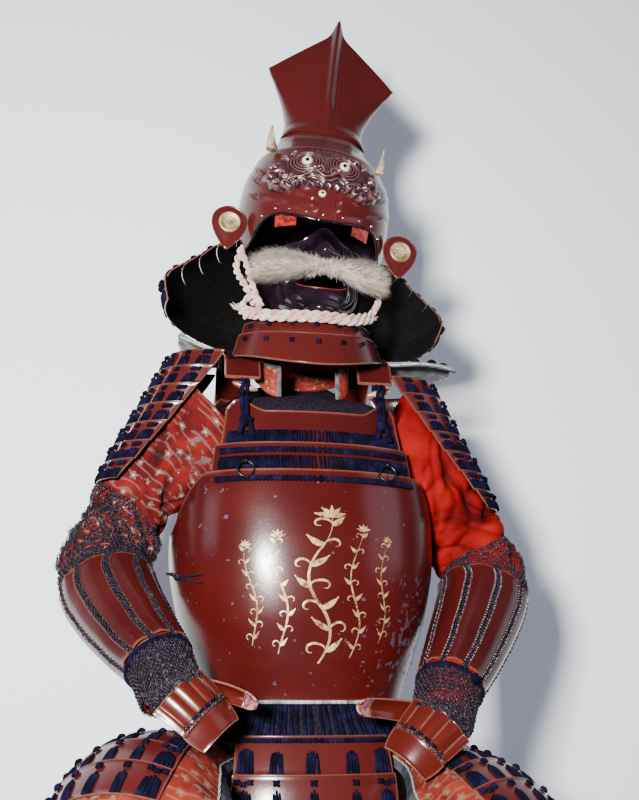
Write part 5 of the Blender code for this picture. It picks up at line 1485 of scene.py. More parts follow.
def thigh(s, u, along, out=0.0):
    """The cloth over a thigh: u runs from the outer edge, -1, to the inner one, 1."""
    _, x, y, z, half, droop = row_at(THIGH, along)
    near, far = row_at(THIGH, min(along + 0.05, 7)), row_at(THIGH, max(along - 0.05, 0))
    down = Vector((near[1] - far[1], near[2] - far[2], near[3] - far[3])).normalized()
    _, cx, cy = row_at(THIGH_CROSS, along)
    cross = Vector((cx, cy, 0))
    cross = (cross - down * cross.dot(down)).normalized()
    up = down.cross(cross)
    if up.z + up.y * -0.5 < 0:
        up = -up
    angle = math.radians(droop)
    radius = half / math.sin(angle) + out
    centre = Vector((x, y, z)) - up * (half / math.sin(angle))
    p = centre + cross * (radius * math.sin(u * angle)) + up * (radius * math.cos(u * angle))
    moved = THIGH_MOVE[s] * ease(along / 2.5) + THIGH_SEAT[s] * max(0.0, 1 - along)
    return Vector((-s * (p.x - moved.x), p.y, p.z + moved.z))


apron_silk, *_ = brocade("apron_brocade", 42, (0.1711, 0.0193, 0.0127), (0.0624, 0.0062, 0.0056),
                         (0.1265, 0.0744, 0.0446), (0.1562, 0.1116, 0.0521), 0.08)
grey_linen, tree, shader, place = clouded("grey_linen", 0.9, (60, 5), (0.36, (0.0182, 0.0182, 0.026)),
                                          (0.62, (0.0494, 0.0494, 0.0598)))
checks = node(tree, "ShaderNodeTexWave", Scale=600, Distortion=0.6)
tree.links.new(place.outputs["UV"], checks.inputs["Vector"])
relief(tree, shader, checks.outputs["Fac"], 0.4, 0.0006)
herringbone, tree, shader = surface_material("herringbone_cord", 0.7)
place = node(tree, "ShaderNodeTexCoord")
stripes = node(tree, "ShaderNodeTexWave", Scale=52, wave_profile="SIN", bands_direction="DIAGONAL")
stretch = node(tree, "ShaderNodeMapping", Scale=(0.06, 1.0, 1.0))
tree.links.new(place.outputs["UV"], stretch.inputs["Vector"])
tree.links.new(stretch.outputs[0], stripes.inputs["Vector"])
tree.links.new(ramp(tree, stripes.outputs["Fac"], (0.46, (0.0062, 0.0062, 0.0104)),
                    (0.54, (0.3844, 0.372, 0.3596))), shader.inputs["Base Color"])

BORDER_OUTER, BORDER_INNER, BORDER_FOOT = -0.885, 0.80, 6.45
for side, s in SIDES:
    def apron(u, v, out):
        wave = 0.0025 * math.cos(9 * u + 2.2 * v) * ease((v - 3.9) / 1.5) * ease((abs(u) - 0.2) / 0.3)
        crimp = 0.0006 * math.sin(37 * u + 5 * v) * math.sin(11 * v - 3 * u)
        return thigh(s, u, v, out - abs(wave) + crimp - 0.0003)

    cloth = laid_grid(f"apron_{side}", apron, even(-1, 1, 120), even(0, 7, 120))
    edge = cloth.data.uv_layers.active.data
    border = [all(edge[i].uv[0] < BORDER_OUTER or edge[i].uv[0] > BORDER_INNER or edge[i].uv[1] > BORDER_FOOT
                  for i in face.loop_indices) for face in cloth.data.polygons]
    in_metres(cloth, 0.145, 0.062)
    cloth.data.materials.append(apron_silk)
    cloth.data.materials.append(grey_linen)
    for face, is_border in zip(cloth.data.polygons, border):
        face.material_index = 1 if is_border else 0
    apply_modifier(cloth, "SOLIDIFY", thickness=0.0018, offset=-1)
    cloth.data.shade_smooth()
    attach(cloth, "root")
    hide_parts(f"thigh_guard_{side}")
    braid = Heap()
    line = [(BORDER_OUTER, v) for v in even(0, BORDER_FOOT, 90)]
    line += [(u, BORDER_FOOT) for u in even(BORDER_OUTER, BORDER_INNER, 60)[1:]]
    line += [(BORDER_INNER, v) for v in even(BORDER_FOOT, 0, 90)[1:]]
    braid.tube([apron(u, v, 0.0008) for u, v in line], 0.0016, 6, 0.8)
    worn_by(braid.made(f"apron_cord_{side}"), herringbone, "navy_braid")

    def panel(u, v, out):
        return thigh(s, u, mix(*THIGH_PANEL, v / LAMES), PLATE + 2 * SEAM + out)

    lames, laces = tasset(f"tasset_{side}", panel, -0.8, 0.4, 40, 0.012, (0.31,),
                          (0.09, -0.13, -0.35, -0.56, -0.735), False, 81)
    worn_by(lames, lame_lacquer, "red_lacquer", f"tasset_{side}")
    worn_by(laces, indigo_silk, "navy_braid")
    worn_by(copied(f"shin_guard_{side}", f"shin_splints_{side}", 1), lame_lacquer, "red_lacquer", f"shin_guard_{side}")


# Helmet: a smooth lacquered iron bowl with drapery folds beaten over the brow, a bordered tab in the middle,
# a black rolled rim and silver rivets; under the brim it is lined with cloth.
HEAD = Matrix.Translation((0.012, 0.0, 0.175)) @ Matrix.Rotation(math.radians(6.0), 4, "Y")
BOWL = (
    (-0.030, 0.110, 0.122, 0.124),
    (0.000, 0.114, 0.130, 0.130),
    (0.045, 0.118, 0.131, 0.136),
    (0.090, 0.115, 0.120, 0.133),
    (0.130, 0.101, 0.098, 0.115),
    (0.150, 0.086, 0.078, 0.092),
    (0.167, 0.0745, 0.062, 0.073),
    (0.182, 0.068, 0.054, 0.062),
)
BOWL_TOP_Z = 0.182
RIM_Z = ((0, -0.003), (14, 0.0), (27, 0.005), (38, 0.008), (50, 0.001), (64, -0.024), (80, -0.028), (120, -0.012),
         (180, -0.006))


def bowl(degrees, z, out=0.0):
    _, wide, front, back = row_at(BOWL, z)
    a = math.radians(degrees)
    reach = front if math.cos(a) > 0 else back
    return Vector(((wide + out) * math.sin(a), -(reach + out) * math.cos(a), z))


# Folds beaten over the brow: height in the middle, rise to the sides, depth, width above the crease.
FOLDS = ((0.0130, 0.034, 0.0056, 0.013), (0.0260, 0.050, 0.0046, 0.015), (0.0380, 0.056, 0.0030, 0.012))


def brow(degrees, z):
    """How far the beaten drapery stands out: ridges that fall off sharply on their under sides."""
    side = abs(degrees) / 60
    fade = (1 - ease((side - 0.85) / 0.5)) * ease((abs(degrees) - 5.5) / 5)
    raised_by = 0.0
    for middle, rise, depth, wide in FOLDS:
        crease = middle + rise * side ** 1.7
        gap = z - crease
        raised_by += depth * math.exp(-(gap / (wide if gap > 0 else 0.0022)) ** 2) * fade
    tab = (1 - ease((abs(degrees) - 5.0) / 1.0)) * (1 - ease((z - 0.066) / 0.006))
    border = bump(abs(degrees), 5.6, 0.75) * (1 - ease((z - 0.070) / 0.006))
    return raised_by + 0.0016 * tab + 0.0014 * border


def dome(degrees, v, out):
    rim_z = row_at(RIM_Z, abs(degrees))[1]
    if v <= 1:
        z = mix(rim_z, BOWL_TOP_Z, v)
        return HEAD @ bowl(degrees, z, out + brow(degrees, z))
    p = bowl(degrees, BOWL_TOP_Z)
    return HEAD @ Vector((p.x * (2 - v), p.y * (2 - v), BOWL_TOP_Z + out))


helmet_lacquer, *_ = lacquered("helmet_lacquer", (0.0594, 0.0079, 0.0071), (0.0337, 0.004, 0.0043),
                               (0.1584, 0.0554, 0.0356), 0.5)
black_lacquer, tree, shader, place = clouded("black_lacquer", 0.13, (26, 4), (0.36, (0.0021, 0.0016, 0.0026)),
                                             (0.66, (0.0114, 0.0047, 0.0104)), Coat_Weight=0.3, Coat_Roughness=0.05)
relief(tree, shader, noise(tree, place.outputs["Object"], 90, 3), 0.06, 0.0008)
silver, *_ = clouded("silver_rivet", 0.25, (500,), (0.4, (0.279, 0.2666, 0.2604)),
                     (0.6, (0.527, 0.5208, 0.5084)), Metallic=1.0)

spread = [-180 + 6 * k for k in range(19)] + even(-70, 70, 112) + [180 - 6 * k for k in range(18, -1, -1)]
made = plate("helmet_shell", dome, spread, rimmed(0, 1, 56, 0.008) + [1.35, 1.7, 2], 0.0028, (0.001, 0.010), 0.0004, 0)
worn_by(made, helmet_lacquer, "red_lacquer", "helmet_bowl")
made.data.materials.append(black_lacquer)
axis = HEAD @ Vector((0, 0, 0.04))
for face in made.data.polygons:
    inward = face.normal.dot(face.center - axis) < -0.2 * (face.center - axis).length
    face.material_index = 1 if inward else 0
rim = Heap()
rim.tube([dome(d, 0, -0.0012) + Vector((0, 0, -0.0004)) for d in even(-66, 66, 110)], 0.0021, 8)
worn_by(rim.made("helmet_rim"), black_lacquer, "black_lacquer")
rivets = Heap()
for d in (-50, -38, -27, -14.5, -2, 13, 27, 40, 52):
    at = dome(d, 0.042, 0.0)
    normal = (dome(d, 0.042, 0.01) - at).normalized()
    side = normal.orthogonal().normalized()
    upward = normal.cross(side)
    points = ringed(at, side, upward, normal, ((0.0012, 0.0018), (0.0021, 0.0010), (0.0025, -0.0004)), 10)
    rivets.add([at + normal * 0.0021] + points, disc_faces(10, 3))
worn_by(rivets.made("brim_rivets"), silver, "iron")

# Red cloth lining shows at the temples between the brim and the mask.
LINING_SPANS = ((-40, -22), (24, 42))
lining = []
for first, last in LINING_SPANS:
    lining.append(laid_grid("lining", lambda d, z, out: HEAD @ bowl(d, z, -0.0065 + out), even(first, last, 10),
                            even(-0.010, 0.012, 6)))
red_lining, *_ = clouded("red_lining", 0.9, (120, 4), (0.38, (0.052, 0.0031, 0.0031)),
                         (0.62, (0.2604, 0.0124, 0.0074)), Sheen_Weight=0.2)
worn_by(joined("helmet_lining", lining), red_lining, "red_brocade")


# Crown: a tall cap of lacquered leather built up on the bowl, flat in front and behind, flared to two
# points, with a round rod down its front between two fine ridges.
CROWN = (
    (0.00, 0.068, 0.054),
    (0.12, 0.064, 0.044),
    (0.30, 0.065, 0.036),
    (0.55, 0.076, 0.028),
    (0.80, 0.092, 0.021),
    (0.97, 0.104, 0.014),
    (1.00, 0.106, 0.000),
)
CROWN_TIP_Z, CROWN_PEAK_Z, CROWN_LEAN, CROWN_SHIFT = 0.321, 0.409, 0.020, 0.007
RIB_OUT, RIB_WIDE, RIB_UP = 0.007, 0.0085, 0.020


def crown(degrees, t, out=0.0):
    a = math.radians(degrees)
    _, wide, deep = row_at(CROWN, t)
    across = math.cos(a)
    x = across * wide
    rib = bump(x, 0, RIB_WIDE * 0.72)
    fine = 0.0009 * bump(abs(x), RIB_WIDE * 1.75, 0.0016) * ease((0.985 - t) / 0.03)
    roof = mix(CROWN_PEAK_Z, CROWN_TIP_Z, abs(across)) + RIB_UP * bump(x, 0, RIB_WIDE)
    thick = deep + out + (RIB_OUT * rib + fine) * ease(t * 3) * ease((1 - t) / 0.03)
    y = power(math.sin(a), 0.75) * (thick if t < 1 else 0.0)
    foot = BOWL_TOP_Z - 0.0012 + 0.003 * ease(t / 0.01)
    return HEAD @ Vector((across * (wide + out) + CROWN_SHIFT * t * t, CROWN_LEAN * t + y, mix(foot, roof, t)))


turns = []
for start in (0, 180):
    turns += [start + d for d in even(0, 72, 22) + even(73, 107, 44) + even(108, 178, 20)]
made = laid_grid("crown", crown, turns + [360],
                 [0, 0.004, 0.012] + even(0.025, 0.96, 66) + [0.968, 0.975, 0.982, 0.989, 0.994, 1.0])
marked(made, "rim", lambda u, v: max(ease((v - 0.975) / 0.02),
                                     0.8 * bump(min(u % 180, 180 - u % 180), 0, 2.2) * ease((v - 0.2) / 0.3)))
apply_modifier(made, "WELD", merge_threshold=0.00005)
made.data.shade_smooth()
made.data.set_sharp_from_angle(angle=math.radians(50))
worn_by(made, helmet_lacquer, "red_lacquer", "helmet_crown")


# Brow ornament: a beast's mask carved in wood under dark purple brown lacquer, with inlaid eyes, a wavy lip
# and hanging curls; two small horns stand behind its ears.
ORNAMENT_Z, ORNAMENT_HALF = (0.046, 0.121), 0.088


def brow_degrees(x, z):
    _, wide, _, _ = row_at(BOWL, z)
    return math.degrees(math.asin(min(max(x / wide, -0.97), 0.97)))


EYES = ((-0.0330, 0.0905), (0.0190, 0.0885))
NOSTRILS = ((-0.0155, 0.0735), (0.0040, 0.0725))
# The curls along the mask's sides and foot: x, z, radius.
CURLS = ((-0.074, 0.086, 0.0085), (-0.078, 0.070, 0.0075), (-0.068, 0.058, 0.0080), (-0.056, 0.054, 0.0075),
         (-0.062, 0.072, 0.0060), (-0.044, 0.050, 0.0065), (-0.034, 0.052, 0.0060), (-0.050, 0.062, 0.0055),
         (0.062, 0.084, 0.0080), (0.069, 0.068, 0.0080), (0.060, 0.059, 0.0080), (0.048, 0.051, 0.0080),
         (0.036, 0.050, 0.0065), (0.026, 0.053, 0.0060), (0.052, 0.068, 0.0060), (0.040, 0.060, 0.0050),
         (-0.060, 0.104, 0.0065), (-0.046, 0.111, 0.0060), (0.050, 0.103, 0.0065), (0.036, 0.110, 0.0060))


def lip_line(x):
    return 0.0655 - 0.0035 * math.cos((x + 0.007) * 190) - 0.12 * max(abs(x + 0.007) - 0.03, 0)


def carving(x, z):
    """How far the carving stands out at a place on the mask."""
    high = 0.0085
    for ex, ez in EYES:
        r = math.hypot(x - ex, z - ez)
        lids = 0.0022 * math.cos(2 * math.pi * (r - 0.0085) / 0.0042) * bump(r, 0.0150, 0.0060)
        high += 0.0040 * math.exp(-(r / 0.017) ** 2) + lids
        high -= 0.0050 * math.exp(-(r / 0.0082) ** 4)
    for nx, nz in NOSTRILS:
        r = math.hypot(x - nx, z - nz)
        high += (0.0045 * math.exp(-(r / 0.0095) ** 2) + 0.0026 * bump(r, 0.0052, 0.0018)
                 - 0.0038 * math.exp(-(r / 0.0028) ** 2))
    high += 0.0040 * bump(x, -0.007, 0.008) * bump(z, 0.083, 0.010)
    for k in (-1, 0, 1):
        high += 0.0016 * bump(z, 0.0945 + 0.0045 * k + 6 * (x + 0.007) ** 2 * 4, 0.0014) * bump(x, -0.007, 0.012)
    lip = lip_line(x)
    high += (0.0052 * bump(z, lip, 0.0026) * bump(x, -0.007, 0.050)
             + 0.0030 * bump(z, lip - 0.0068, 0.0020) * bump(x, -0.007, 0.044))
    for cx, cz, size in CURLS:
        dx, dz = x - cx, z - cz
        r = math.hypot(dx, dz)
        if r < size * 2.2:
            swirl = math.cos(math.atan2(dz, dx) * math.copysign(1, cx) + r / size * 4.4)
            high += 0.0055 * math.exp(-(r / size) ** 4) + 0.0022 * swirl * math.exp(-(r / size) ** 2)
    return high


def mask_edge(v):
    """Half the carving's width at a height, with lobes along its outline."""
    half = ORNAMENT_HALF * (0.55 + 0.45 * math.sin(math.pi * min(v * 0.92 + 0.12, 1.0)))
    return half * (1 - 0.035 * (1 + math.cos(v * 24)))


def ornament(u, v, out):
    x = mask_edge(v) * u - 0.005
    lobes = 0.0022 * math.cos(34 * u) * (1 - 2 * v)
    z = mix(ORNAMENT_Z[0], ORNAMENT_Z[1], v) - 0.010 * u * u + lobes * abs(1 - 2 * v)
    edge = min((1 - abs(u)) * 14, v * 12, (1 - v) * 12, 1.0)
    height = (carving(x, z + 0.010 * u * u) - 0.001) * math.sqrt(max(edge, 0)) if out >= 0 else 0.0
    return HEAD @ bowl(brow_degrees(x, z), z, 2.2 * SEAM + height + out)


def painted_carving_light(u, v):
    """Painted shade in the carving's hollows and painted highlight on its ridges: a height against the places around
    it.
    """
    x, z, near = mask_edge(v) * u - 0.005, mix(*ORNAMENT_Z, v), 0.0016
    around = sum(carving(x + near * math.cos(a), z + near * math.sin(a)) for a in (0, 1.57, 3.14, 4.71)) / 4
    return min(max(0.42 + (carving(x, z) - around) * 900, 0), 1)


# The carved lacquer's colour runs from painted shade in the hollows to painted highlight on the ridges, through the rim
# attribute.
carved, tree, shader = surface_material("carved_lacquer", 0.30, Coat_Weight=0.3, Coat_Roughness=0.15)
place = node(tree, "ShaderNodeTexCoord")
painted_carving_light_mask = node(tree, "ShaderNodeAttribute", attribute_name="rim")
tree.links.new(ramp(tree,
                    sums(tree, "MULTIPLY_ADD", noise(tree, place.outputs["Object"], 130, 4), 0.35,
                         painted_carving_light_mask.outputs["Fac"]),
                    (0.25, (0.0052, 0.0021, 0.0042)), (0.55, (0.026, 0.0094, 0.0125)),
                    (0.95, (0.0884, 0.0312, 0.0312))), shader.inputs["Base Color"])
relief(tree, shader, noise(tree, place.outputs["Object"], 420, 3), 0.25, 0.0006)
made = laid_grid("beast_mask", ornament, even(-1, 1, 190), even(0, 1, 92))
# Here the rim attribute holds painted shade and painted highlight, not worn edges.
marked(made, "rim", painted_carving_light)
apply_modifier(made, "SOLIDIFY", thickness=0.002, offset=-1)
made.data.shade_smooth()
worn_by(made, carved, "carved_wood", "brow_ornament")

eye_glass, tree, shader = surface_material("painted_eye", 0.12, Coat_Weight=0.5)
place = node(tree, "ShaderNodeTexCoord")
rings = node(tree, "ShaderNodeSeparateXYZ")
tree.links.new(place.outputs["UV"], rings.inputs[0])
tree.links.new(ramp(tree, rings.outputs["Y"], (0.30, (0.0021, 0.0021, 0.0031)), (0.33, (0.1248, 0.104, 0.0468)),
                    (0.42, (0.4588, 0.434, 0.3348)),
                    (0.84, (0.434, 0.3844, 0.248)), (0.95, (0.1144, 0.0676, 0.026))), shader.inputs["Base Color"])


def dome_button(heap, at, normal, radius, height, rings, look=Vector((0, 0, 0))):
    """A shallow glass or metal dome; its UV map's second value grows from its middle to its rim."""
    side = normal.orthogonal().normalized()
    upward = normal.cross(side)
    points, uvs = [at + normal * height + look], [(0, 0)]
    for r in even(0, 1, rings)[1:]:
        ring = ringed(at, side, upward, normal, ((radius * r, height * math.sqrt(max(1 - r * r, 0))),), 16)
        points += [p + look * (1 - r) for p in ring]
        uvs += [(k / 16, r) for k in range(16)]
    heap.add(points, disc_faces(16, rings), uvs)


eyes = Heap()
for (x, z), look in zip(EYES, (Vector((0.0016, 0, -0.0003)), Vector((-0.0018, 0, 0.0006)))):
    root = HEAD @ bowl(brow_degrees(x, z), z, 0.0082)
    normal = (HEAD @ bowl(brow_degrees(x, z), z, 0.02) - root).normalized()
    dome_button(eyes, root, normal, 0.0086, 0.0056, 6, look)
root = HEAD @ bowl(brow_degrees(-0.009, 0.0365), 0.0365, 0.003)
dome_button(eyes, root, (HEAD @ bowl(brow_degrees(-0.009, 0.0365), 0.0365, 0.02) - root).normalized(), 0.0062, 0.004, 5)
worn_by(eyes.made("beast_eyes"), eye_glass, "horn")
pale_horn, *_ = clouded("pale_horn", 0.4, (60, 5), (0.36, (0.0624, 0.0442, 0.0312)),
                        (0.55, (0.2604, 0.1984, 0.1364)), (0.7, (0.372, 0.31, 0.2356)))
for side in ("right", "left"):
    worn_by(copied(f"brow_horn_{side}", f"beast_horn_{side}", 2), pale_horn, "horn", f"brow_horn_{side}")


# Ear plates: drop-shaped turned-back wings of the neck guard, each with a round gilt disc and a rosette.
gilt, *_ = clouded("old_gilt", 0.38, (110, 4), (0.34, (0.1984, 0.124, 0.0558)),
                   (0.52, (0.3844, 0.2852, 0.1488)), (0.70, (0.496, 0.4216, 0.2728)), Metallic=0.6)
EAR_HALF, EAR_UP, EAR_DOWN, EAR_Y, EAR_Z, EAR_SEAT = 0.027, 0.025, 0.046, -0.052, 0.006, 0.00015
DISC_RINGS = ((0.0138, 0.0013), (0.0150, 0.0020), (0.0162, 0.0012), (0.0164, -0.0010))    # radius, height
for side, s in SIDES:
    _, wide, front_reach, _ = row_at(BOWL, EAR_Z)
    centre = Vector((s * (wide * math.sqrt(1 - (EAR_Y / front_reach) ** 2) + EAR_SEAT + EAR_HALF), EAR_Y, EAR_Z))

    def drop(turn, r, out):
        a = 2 * math.pi * turn
        x, z = math.sin(a), math.cos(a)
        if z > 0:
            x, z = x * EAR_HALF, z * EAR_UP
        else:
            x, z = x * EAR_HALF * (1 - 0.55 * z * z), z * EAR_DOWN
        rim_up = 0.0012 * bump(r, 0.94, 0.035)
        return HEAD @ (centre + Vector((x * r, -0.004 * (1 - r * r) - rim_up - out, z * r)))

    made = laid_grid(f"ear_plate_{side}", drop, even(0, 1, 64),
                     [0.0, 0.15, 0.4, 0.7, 0.86, 0.90, 0.925, 0.945, 0.97, 1.0])
    marked(made, "rim", lambda turn, r: ease((r - 0.93) / 0.06))
    apply_modifier(made, "WELD", merge_threshold=0.00005)
    apply_modifier(made, "SOLIDIFY", thickness=0.0026, offset=-1)
    made.data.shade_smooth()
    made.data.set_sharp_from_angle(angle=math.radians(40))
    worn_by(made, helmet_lacquer, "red_lacquer", f"ear_wing_{side}")
    crest, face_on = Heap(), HEAD.to_3x3() @ Vector((0, -1, 0))
    middle = HEAD @ (centre + Vector((0, -0.0042, -0.003)))
    upward, across = HEAD.to_3x3() @ Vector((0, 0, 1)), HEAD.to_3x3() @ Vector((1, 0, 0))
    crest.add([middle + face_on * 0.0012] + ringed(middle, across, upward, face_on, DISC_RINGS, 40), disc_faces(40, 4))
    for k in range(8):
        a = math.pi / 4 * k
        dome_button(crest, middle + (across * math.cos(a) + upward * math.sin(a)) * 0.0066 + face_on * 0.0008,
                    face_on, 0.0024, 0.0014, 3)
    dome_button(crest, middle + face_on * 0.001, face_on, 0.0028, 0.0020, 3)
    worn_by(crest.made(f"rosette_{side}"), gilt, "horn")


# Neck guard: five lames that spread out behind the face, red outside and black inside, laced with indigo silk.
NECK = (
    (0, 0.000, 0.1123, 0.1283),
    (1, -0.017, 0.141, 0.1525),
    (2, -0.040, 0.165, 0.172),
    (3, -0.062, 0.189, 0.192),
    (4, -0.086, 0.213, 0.208),
    (5, -0.124, 0.208, 0.204),
)
NECK_LAMES, NECK_SPAN = 5, (88, 272)


def neck(degrees, lame, out=0.0):
    spread = (degrees - 180) / (NECK_SPAN[1] - 180)
    a = math.radians(180 + spread * mix(NECK_SPAN[1] - 180, 98, min(lame / 3, 1)))
    _, z, wide, deep = row_at(NECK, lame)
    return HEAD @ Vector(((wide + out + SEAM) * math.sin(a), -(deep + out + SEAM) * math.cos(a), z))


lames, laces, rng = [], Heap(), random.Random(91)
for i in range(NECK_LAMES):
    lame = lame_at(neck, i, NECK_LAMES)
    lames.append(plate(f"neck_lame_{i}", lame, rimmed(*NECK_SPAN, 60, 0.8),
                       rimmed(0, 1.0 if i == NECK_LAMES - 1 else 1.03, 8, 0.05),
                       0.0024, (0.8, 0.06), 0.0009, 0.0005))
    for d in (90.2, 93.6):
        for at in (d, 360 - d):
            lump(laces, lame, at, 0.30, 0.0040, 0.0035, 0.0040)
            strip(laces, lame, at, 0.46, 0.97, 2, rng, 0.0046)
    for k in range(17):
        d = mix(99, 261, k / 16)
        if i:
            lump(laces, lame, d, 0.25, 0.0036, 0.003, 0.0034)
        strip(laces, lame, d, 0.42, 0.97, 3, rng, 0.0044)
inside_black, *_ = clouded("inside_black_lacquer", 0.75, (90, 4), (0.4, (0.0004, 0.0004, 0.0004)),
                           (0.7, (0.0021, 0.0016, 0.0021)), Specular_IOR_Level=0.12)
guard = joined("neck_lames", lames)
worn_by(guard, lame_lacquer, "red_lacquer", "neck_guard")
guard.data.materials.append(inside_black)
axis = HEAD @ Vector((0, 0, 0))
for face in guard.data.polygons:
    away = face.center - axis
    away.z = 0
    face.material_index = 1 if face.normal.dot(away) < -0.25 * away.length else 0
worn_by(laces.made("neck_lacing"), indigo_silk, "navy_braid")


# Face mask: black lacquered iron from the nose to the chin, with creased cheeks and an open mouth.
FACE = Matrix.Translation((0.007, 0.0, 0.0)) @ Matrix.Rotation(math.radians(2.5), 4, "Y")
MASK = (
    (0.014, 0.050, 0.112),
    (0.030, 0.060, 0.124),
    (0.050, 0.068, 0.125),
    (0.083, 0.075, 0.120),
    (0.115, 0.078, 0.118),
    (0.150, 0.079, 0.114),
    (0.175, 0.079, 0.110),
)
MASK_SPAN, MOUTH = 84, (0.0, 0.083, 0.036, 0.0105)


def mask(degrees, z, out=0.0):
    _, wide, front = row_at(MASK, z)
    a = math.radians(degrees)
    x = (wide + out) * math.sin(a)
    y = -(front + out) * power(math.cos(a), 0.8) + 0.004
    nose = 0.026 * bump(x, 0, 0.018 + 0.12 * max(0.130 - z, 0)) * bump(z, 0.127, 0.016 if z < 0.127 else 0.030)
    nose += 0.010 * bump(abs(x), 0.022, 0.010) * bump(z, 0.123, 0.011)
    cheek = 0.006 * bump(abs(x), 0.050, 0.018) * bump(z, 0.118, 0.022)
    chin = 0.009 * bump(x, 0, 0.026) * bump(z, 0.040, 0.014)
    lips = 0.004 * bump(x, 0, 0.040) * (bump(z, 0.064, 0.007) + bump(z, 0.096, 0.007))
    # Creases run round the mouth's corners, one outside the other.
    r = math.hypot((abs(x) - 0.012) / 1.15, (z - 0.079) / 1.0)
    creases = -0.0021 * math.cos(2 * math.pi * (r - 0.030) / 0.0088) * bump(r, 0.043, 0.014)
    creases *= ease((abs(x) - 0.022) / 0.012)
    nostril = -0.004 * bump(abs(x), 0.012, 0.005) * bump(z, 0.113, 0.0035)
    cup = -0.004 * bump(x, 0, 0.020) * bump(z, 0.033, 0.005)
    return FACE @ Vector((x, y - nose - cheek - chin - lips + 0.003 * bump(abs(x), 0.044, 0.005) * bump(z, 0.085, 0.022)
                          - creases - nostril - cup, z))


def face(degrees, v, out):
    top = 0.146 + 0.024 * bump(degrees, 0, 16) - 0.010 * ease((abs(degrees) - 50) / 30)
    foot = 0.0272 + 0.008 * ease(abs(degrees) / MASK_SPAN)
    return mask(degrees, mix(foot, top, v), out)


made = plate("mask_shell", face, rimmed(-84, 84, 168, 1.0), rimmed(0, 1, 110, 0.008), 0.0026, (1.0, 0.010), 0.0008, 0)
bpy.ops.object.select_all(action="DESELECT")
bpy.ops.mesh.primitive_cylinder_add(vertices=56, radius=1, depth=0.10, rotation=(math.radians(90), 0, 0))
cutter = bpy.context.object
cutter.scale = (MOUTH[2], MOUTH[3], 1)
cutter.location = FACE @ Vector((MOUTH[0], -0.12, MOUTH[1]))
apply_modifier(made, "BOOLEAN", object=cutter, operation="DIFFERENCE")
bpy.data.objects.remove(cutter)
made.data.shade_smooth()
made.data.set_sharp_from_angle(angle=math.radians(48))
worn_by(made, black_lacquer, "black_lacquer", "face_mask")
red_lip, *_ = clouded("red_lip_line", 0.35, (90,), (0.4, (0.052, 0.0042, 0.0042)),
                      (0.6, (0.1248, 0.0094, 0.0073)), Coat_Weight=0.4)


def place_on_mask(x, z, out):
    _, wide, _ = row_at(MASK, z)
    return mask(math.degrees(math.asin(min(max(x / wide, -1), 1))), z, out)


lip = Heap()
lip.tube([place_on_mask(MOUTH[2] * 1.03 * math.cos(a), MOUTH[1] + MOUTH[3] * 1.10 * math.sin(a) + 0.001, 0.0002)
          for a in even(math.radians(188), math.radians(352), 40)], 0.0011, 6)
worn_by(lip.made("lip_line"), red_lip, "red_lacquer")
pegs = Heap()
pegs.tube([place_on_mask(0.0, 0.0335, 0.000), place_on_mask(0.0, 0.0325, 0.0045),
           place_on_mask(0.0, 0.0315, 0.0075)], 0.0022, 8,
          taper=lambda t: 1.0 if t < 0.9 else 0.7)
pegs.tube([place_on_mask(0.024, 0.036, 0.000), place_on_mask(0.026, 0.031, 0.005),
           place_on_mask(0.027, 0.027, 0.010)], 0.0024, 8,
          taper=lambda t: 1.0 - 0.8 * t)
worn_by(pegs.made("chin_pegs"), black_lacquer, "black_lacquer")


# Moustache: two tufts of beige grey animal hair set under the nose, brushed out to both sides.
fur, tree, shader = surface_material("moustache_hair", 0.6, Sheen_Weight=0.2)
place = node(tree, "ShaderNodeTexCoord")
parts = node(tree, "ShaderNodeSeparateXYZ")
tree.links.new(place.outputs["UV"], parts.inputs[0])
shade = sums(tree, "MULTIPLY_ADD", noise(tree, place.outputs["Object"], 75, 4), 0.55,
             sums(tree, "MULTIPLY", parts.outputs["X"], 0.5))
tree.links.new(ramp(tree, shade, (0.22, (0.0468, 0.0312, 0.026)), (0.42, (0.2604, 0.1922, 0.1426)),
                    (0.62, (0.4712, 0.403, 0.3286)),
                    (0.82, (0.558, 0.527, 0.4774))), shader.inputs["Base Color"])
BRUSH_HALF = 0.095
BRUSH_REACH = ((0, 0.1288), (0.25, 0.1245), (0.5, 0.1135), (0.75, 0.0972), (1.0, 0.0762))


def brush(turn, along, depth):
    a = 2 * math.pi * turn
    fat = depth * mix(0.0065, 0.0215, ease(abs(along) * 1.9)) * math.sqrt(max(1 - abs(along) ** 6, 0.15))
    reach = row_at(BRUSH_REACH, abs(along))[1]
    return FACE @ Vector((along * BRUSH_HALF, -reach + 0.55 * fat * math.cos(a), 0.101 + 0.004 * along * along
                          + fat * math.sin(a)))


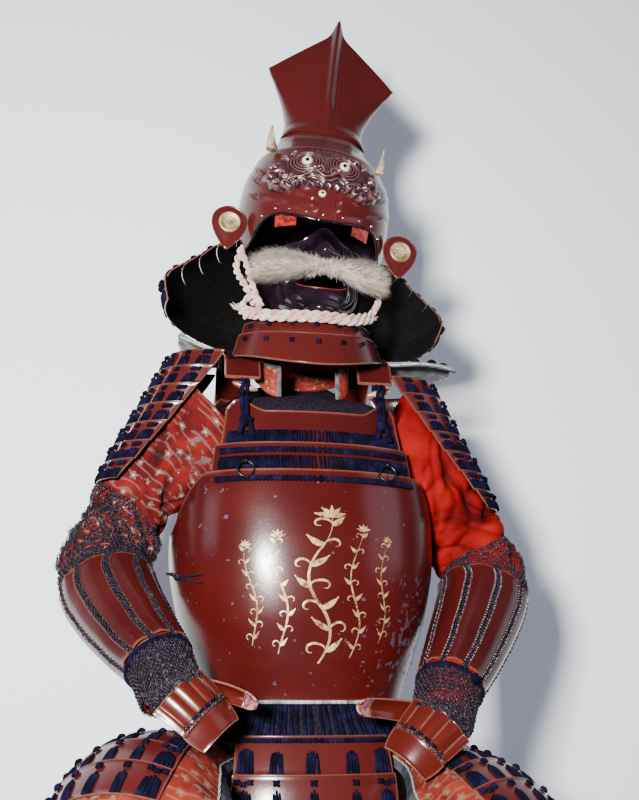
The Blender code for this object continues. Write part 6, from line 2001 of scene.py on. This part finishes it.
hairs, rng = Heap(), random.Random(101)
core = [[brush(k / 12, along, 0.55) for k in range(12)] for along in even(-0.96, 0.96, 40)]
hairs.add([p for ring in core for p in ring],
          [(j * 12 + k, j * 12 + (k + 1) % 12, (j + 1) * 12 + (k + 1) % 12, (j + 1) * 12
            + k) for j in range(40) for k in range(12)],
          [(0.1, 0.0)] * (41 * 12))
for _ in range(15000):
    along = rng.uniform(-1, 1)
    turn = rng.uniform(0.12, 0.88)
    root = brush(turn, along * 0.93, 0.50)
    skin = brush(turn, along * 0.93, 1.0) - root
    sideways = math.copysign(1, along) * ease(abs(along) * 2.2)
    comb = (FACE.to_3x3() @ Vector((0.95 * sideways + rng.uniform(-0.35, 0.35), -0.10,
                                    rng.uniform(-0.45, 0.40)))).normalized()
    length = mix(0.004, 0.019, min(abs(along) * 1.5, 1) ** 0.8) * rng.uniform(0.7, 1.3)
    curl = Vector((rng.uniform(-1, 1), rng.uniform(-1, 1), rng.uniform(-1, 1))) * 0.0016
    middle = root + skin * 0.95 + comb * length * 0.5 + curl
    tip = root + skin * 1.15 + comb * length + curl * 2.2
    side = comb.cross(skin if skin.length > 1e-6 else Vector((0, -1, 0))).normalized()
    side *= rng.uniform(0.00022, 0.00038)
    tone = rng.random()
    hairs.add([root - side, root + side, middle - side * 0.8, middle + side * 0.8, tip], [(0, 1, 3, 2), (2, 3, 4)],
              [(tone, 0), (tone, 0), (tone, 0.5), (tone, 0.5), (tone, 1)])
tufts = mesh_object("moustache_tufts", hairs.points, hairs.faces, hairs.uvs)
worn_by(tufts, fur, "horsehair", "moustache")


# Throat guard: two red lames hung from the mask's chin and flared over the collar, laced with single knots.
THROAT = (
    (0.0, 0.036, 0.010, 0.100, 0.118),
    (0.5, 0.022, 0.018, 0.106, 0.130),
    (1.2, 0.004, 0.030, 0.114, 0.142),
    (2.0, -0.012, 0.038, 0.122, 0.152),
)
THROAT_SPAN = 67


def throat(degrees, lame, out=0.0):
    _, z, dip, wide, front = row_at(THROAT, lame)
    a = math.radians(degrees)
    return Vector(((wide + out) * math.sin(a), -(front + out) * math.cos(a), z - dip * math.cos(a) ** 2))


lames, laces, rng = [], Heap(), random.Random(111)
for first, last, rise in ((0.0, 0.70, 0.0014), (0.62, 2.0, STEP)):
    def lame(u, v, out):
        return throat(u, v, out + rise * (1 - ease((v - first) / (last - first))) - (0.0014 if first == 0 else 0.0) * v)

    lames.append(plate("throat_lame", lame, rimmed(-THROAT_SPAN, THROAT_SPAN, 64, 0.9),
                       rimmed(first, last, 12, 0.05), 0.0026,
                       (0.9, 0.06), 0.0011, 0.0006))
    for k in range(7):
        d = mix(-56, 56, k / 6)
        lump(laces, lame, d, mix(first, last, 0.42 if first == 0 else 0.24), 0.0030, 0.0028, 0.0032)
worn_by(joined("throat_lames", lames), lame_lacquer, "red_lacquer", "throat_guard")
worn_by(laces.made("throat_knots"), indigo_silk, "navy_braid")
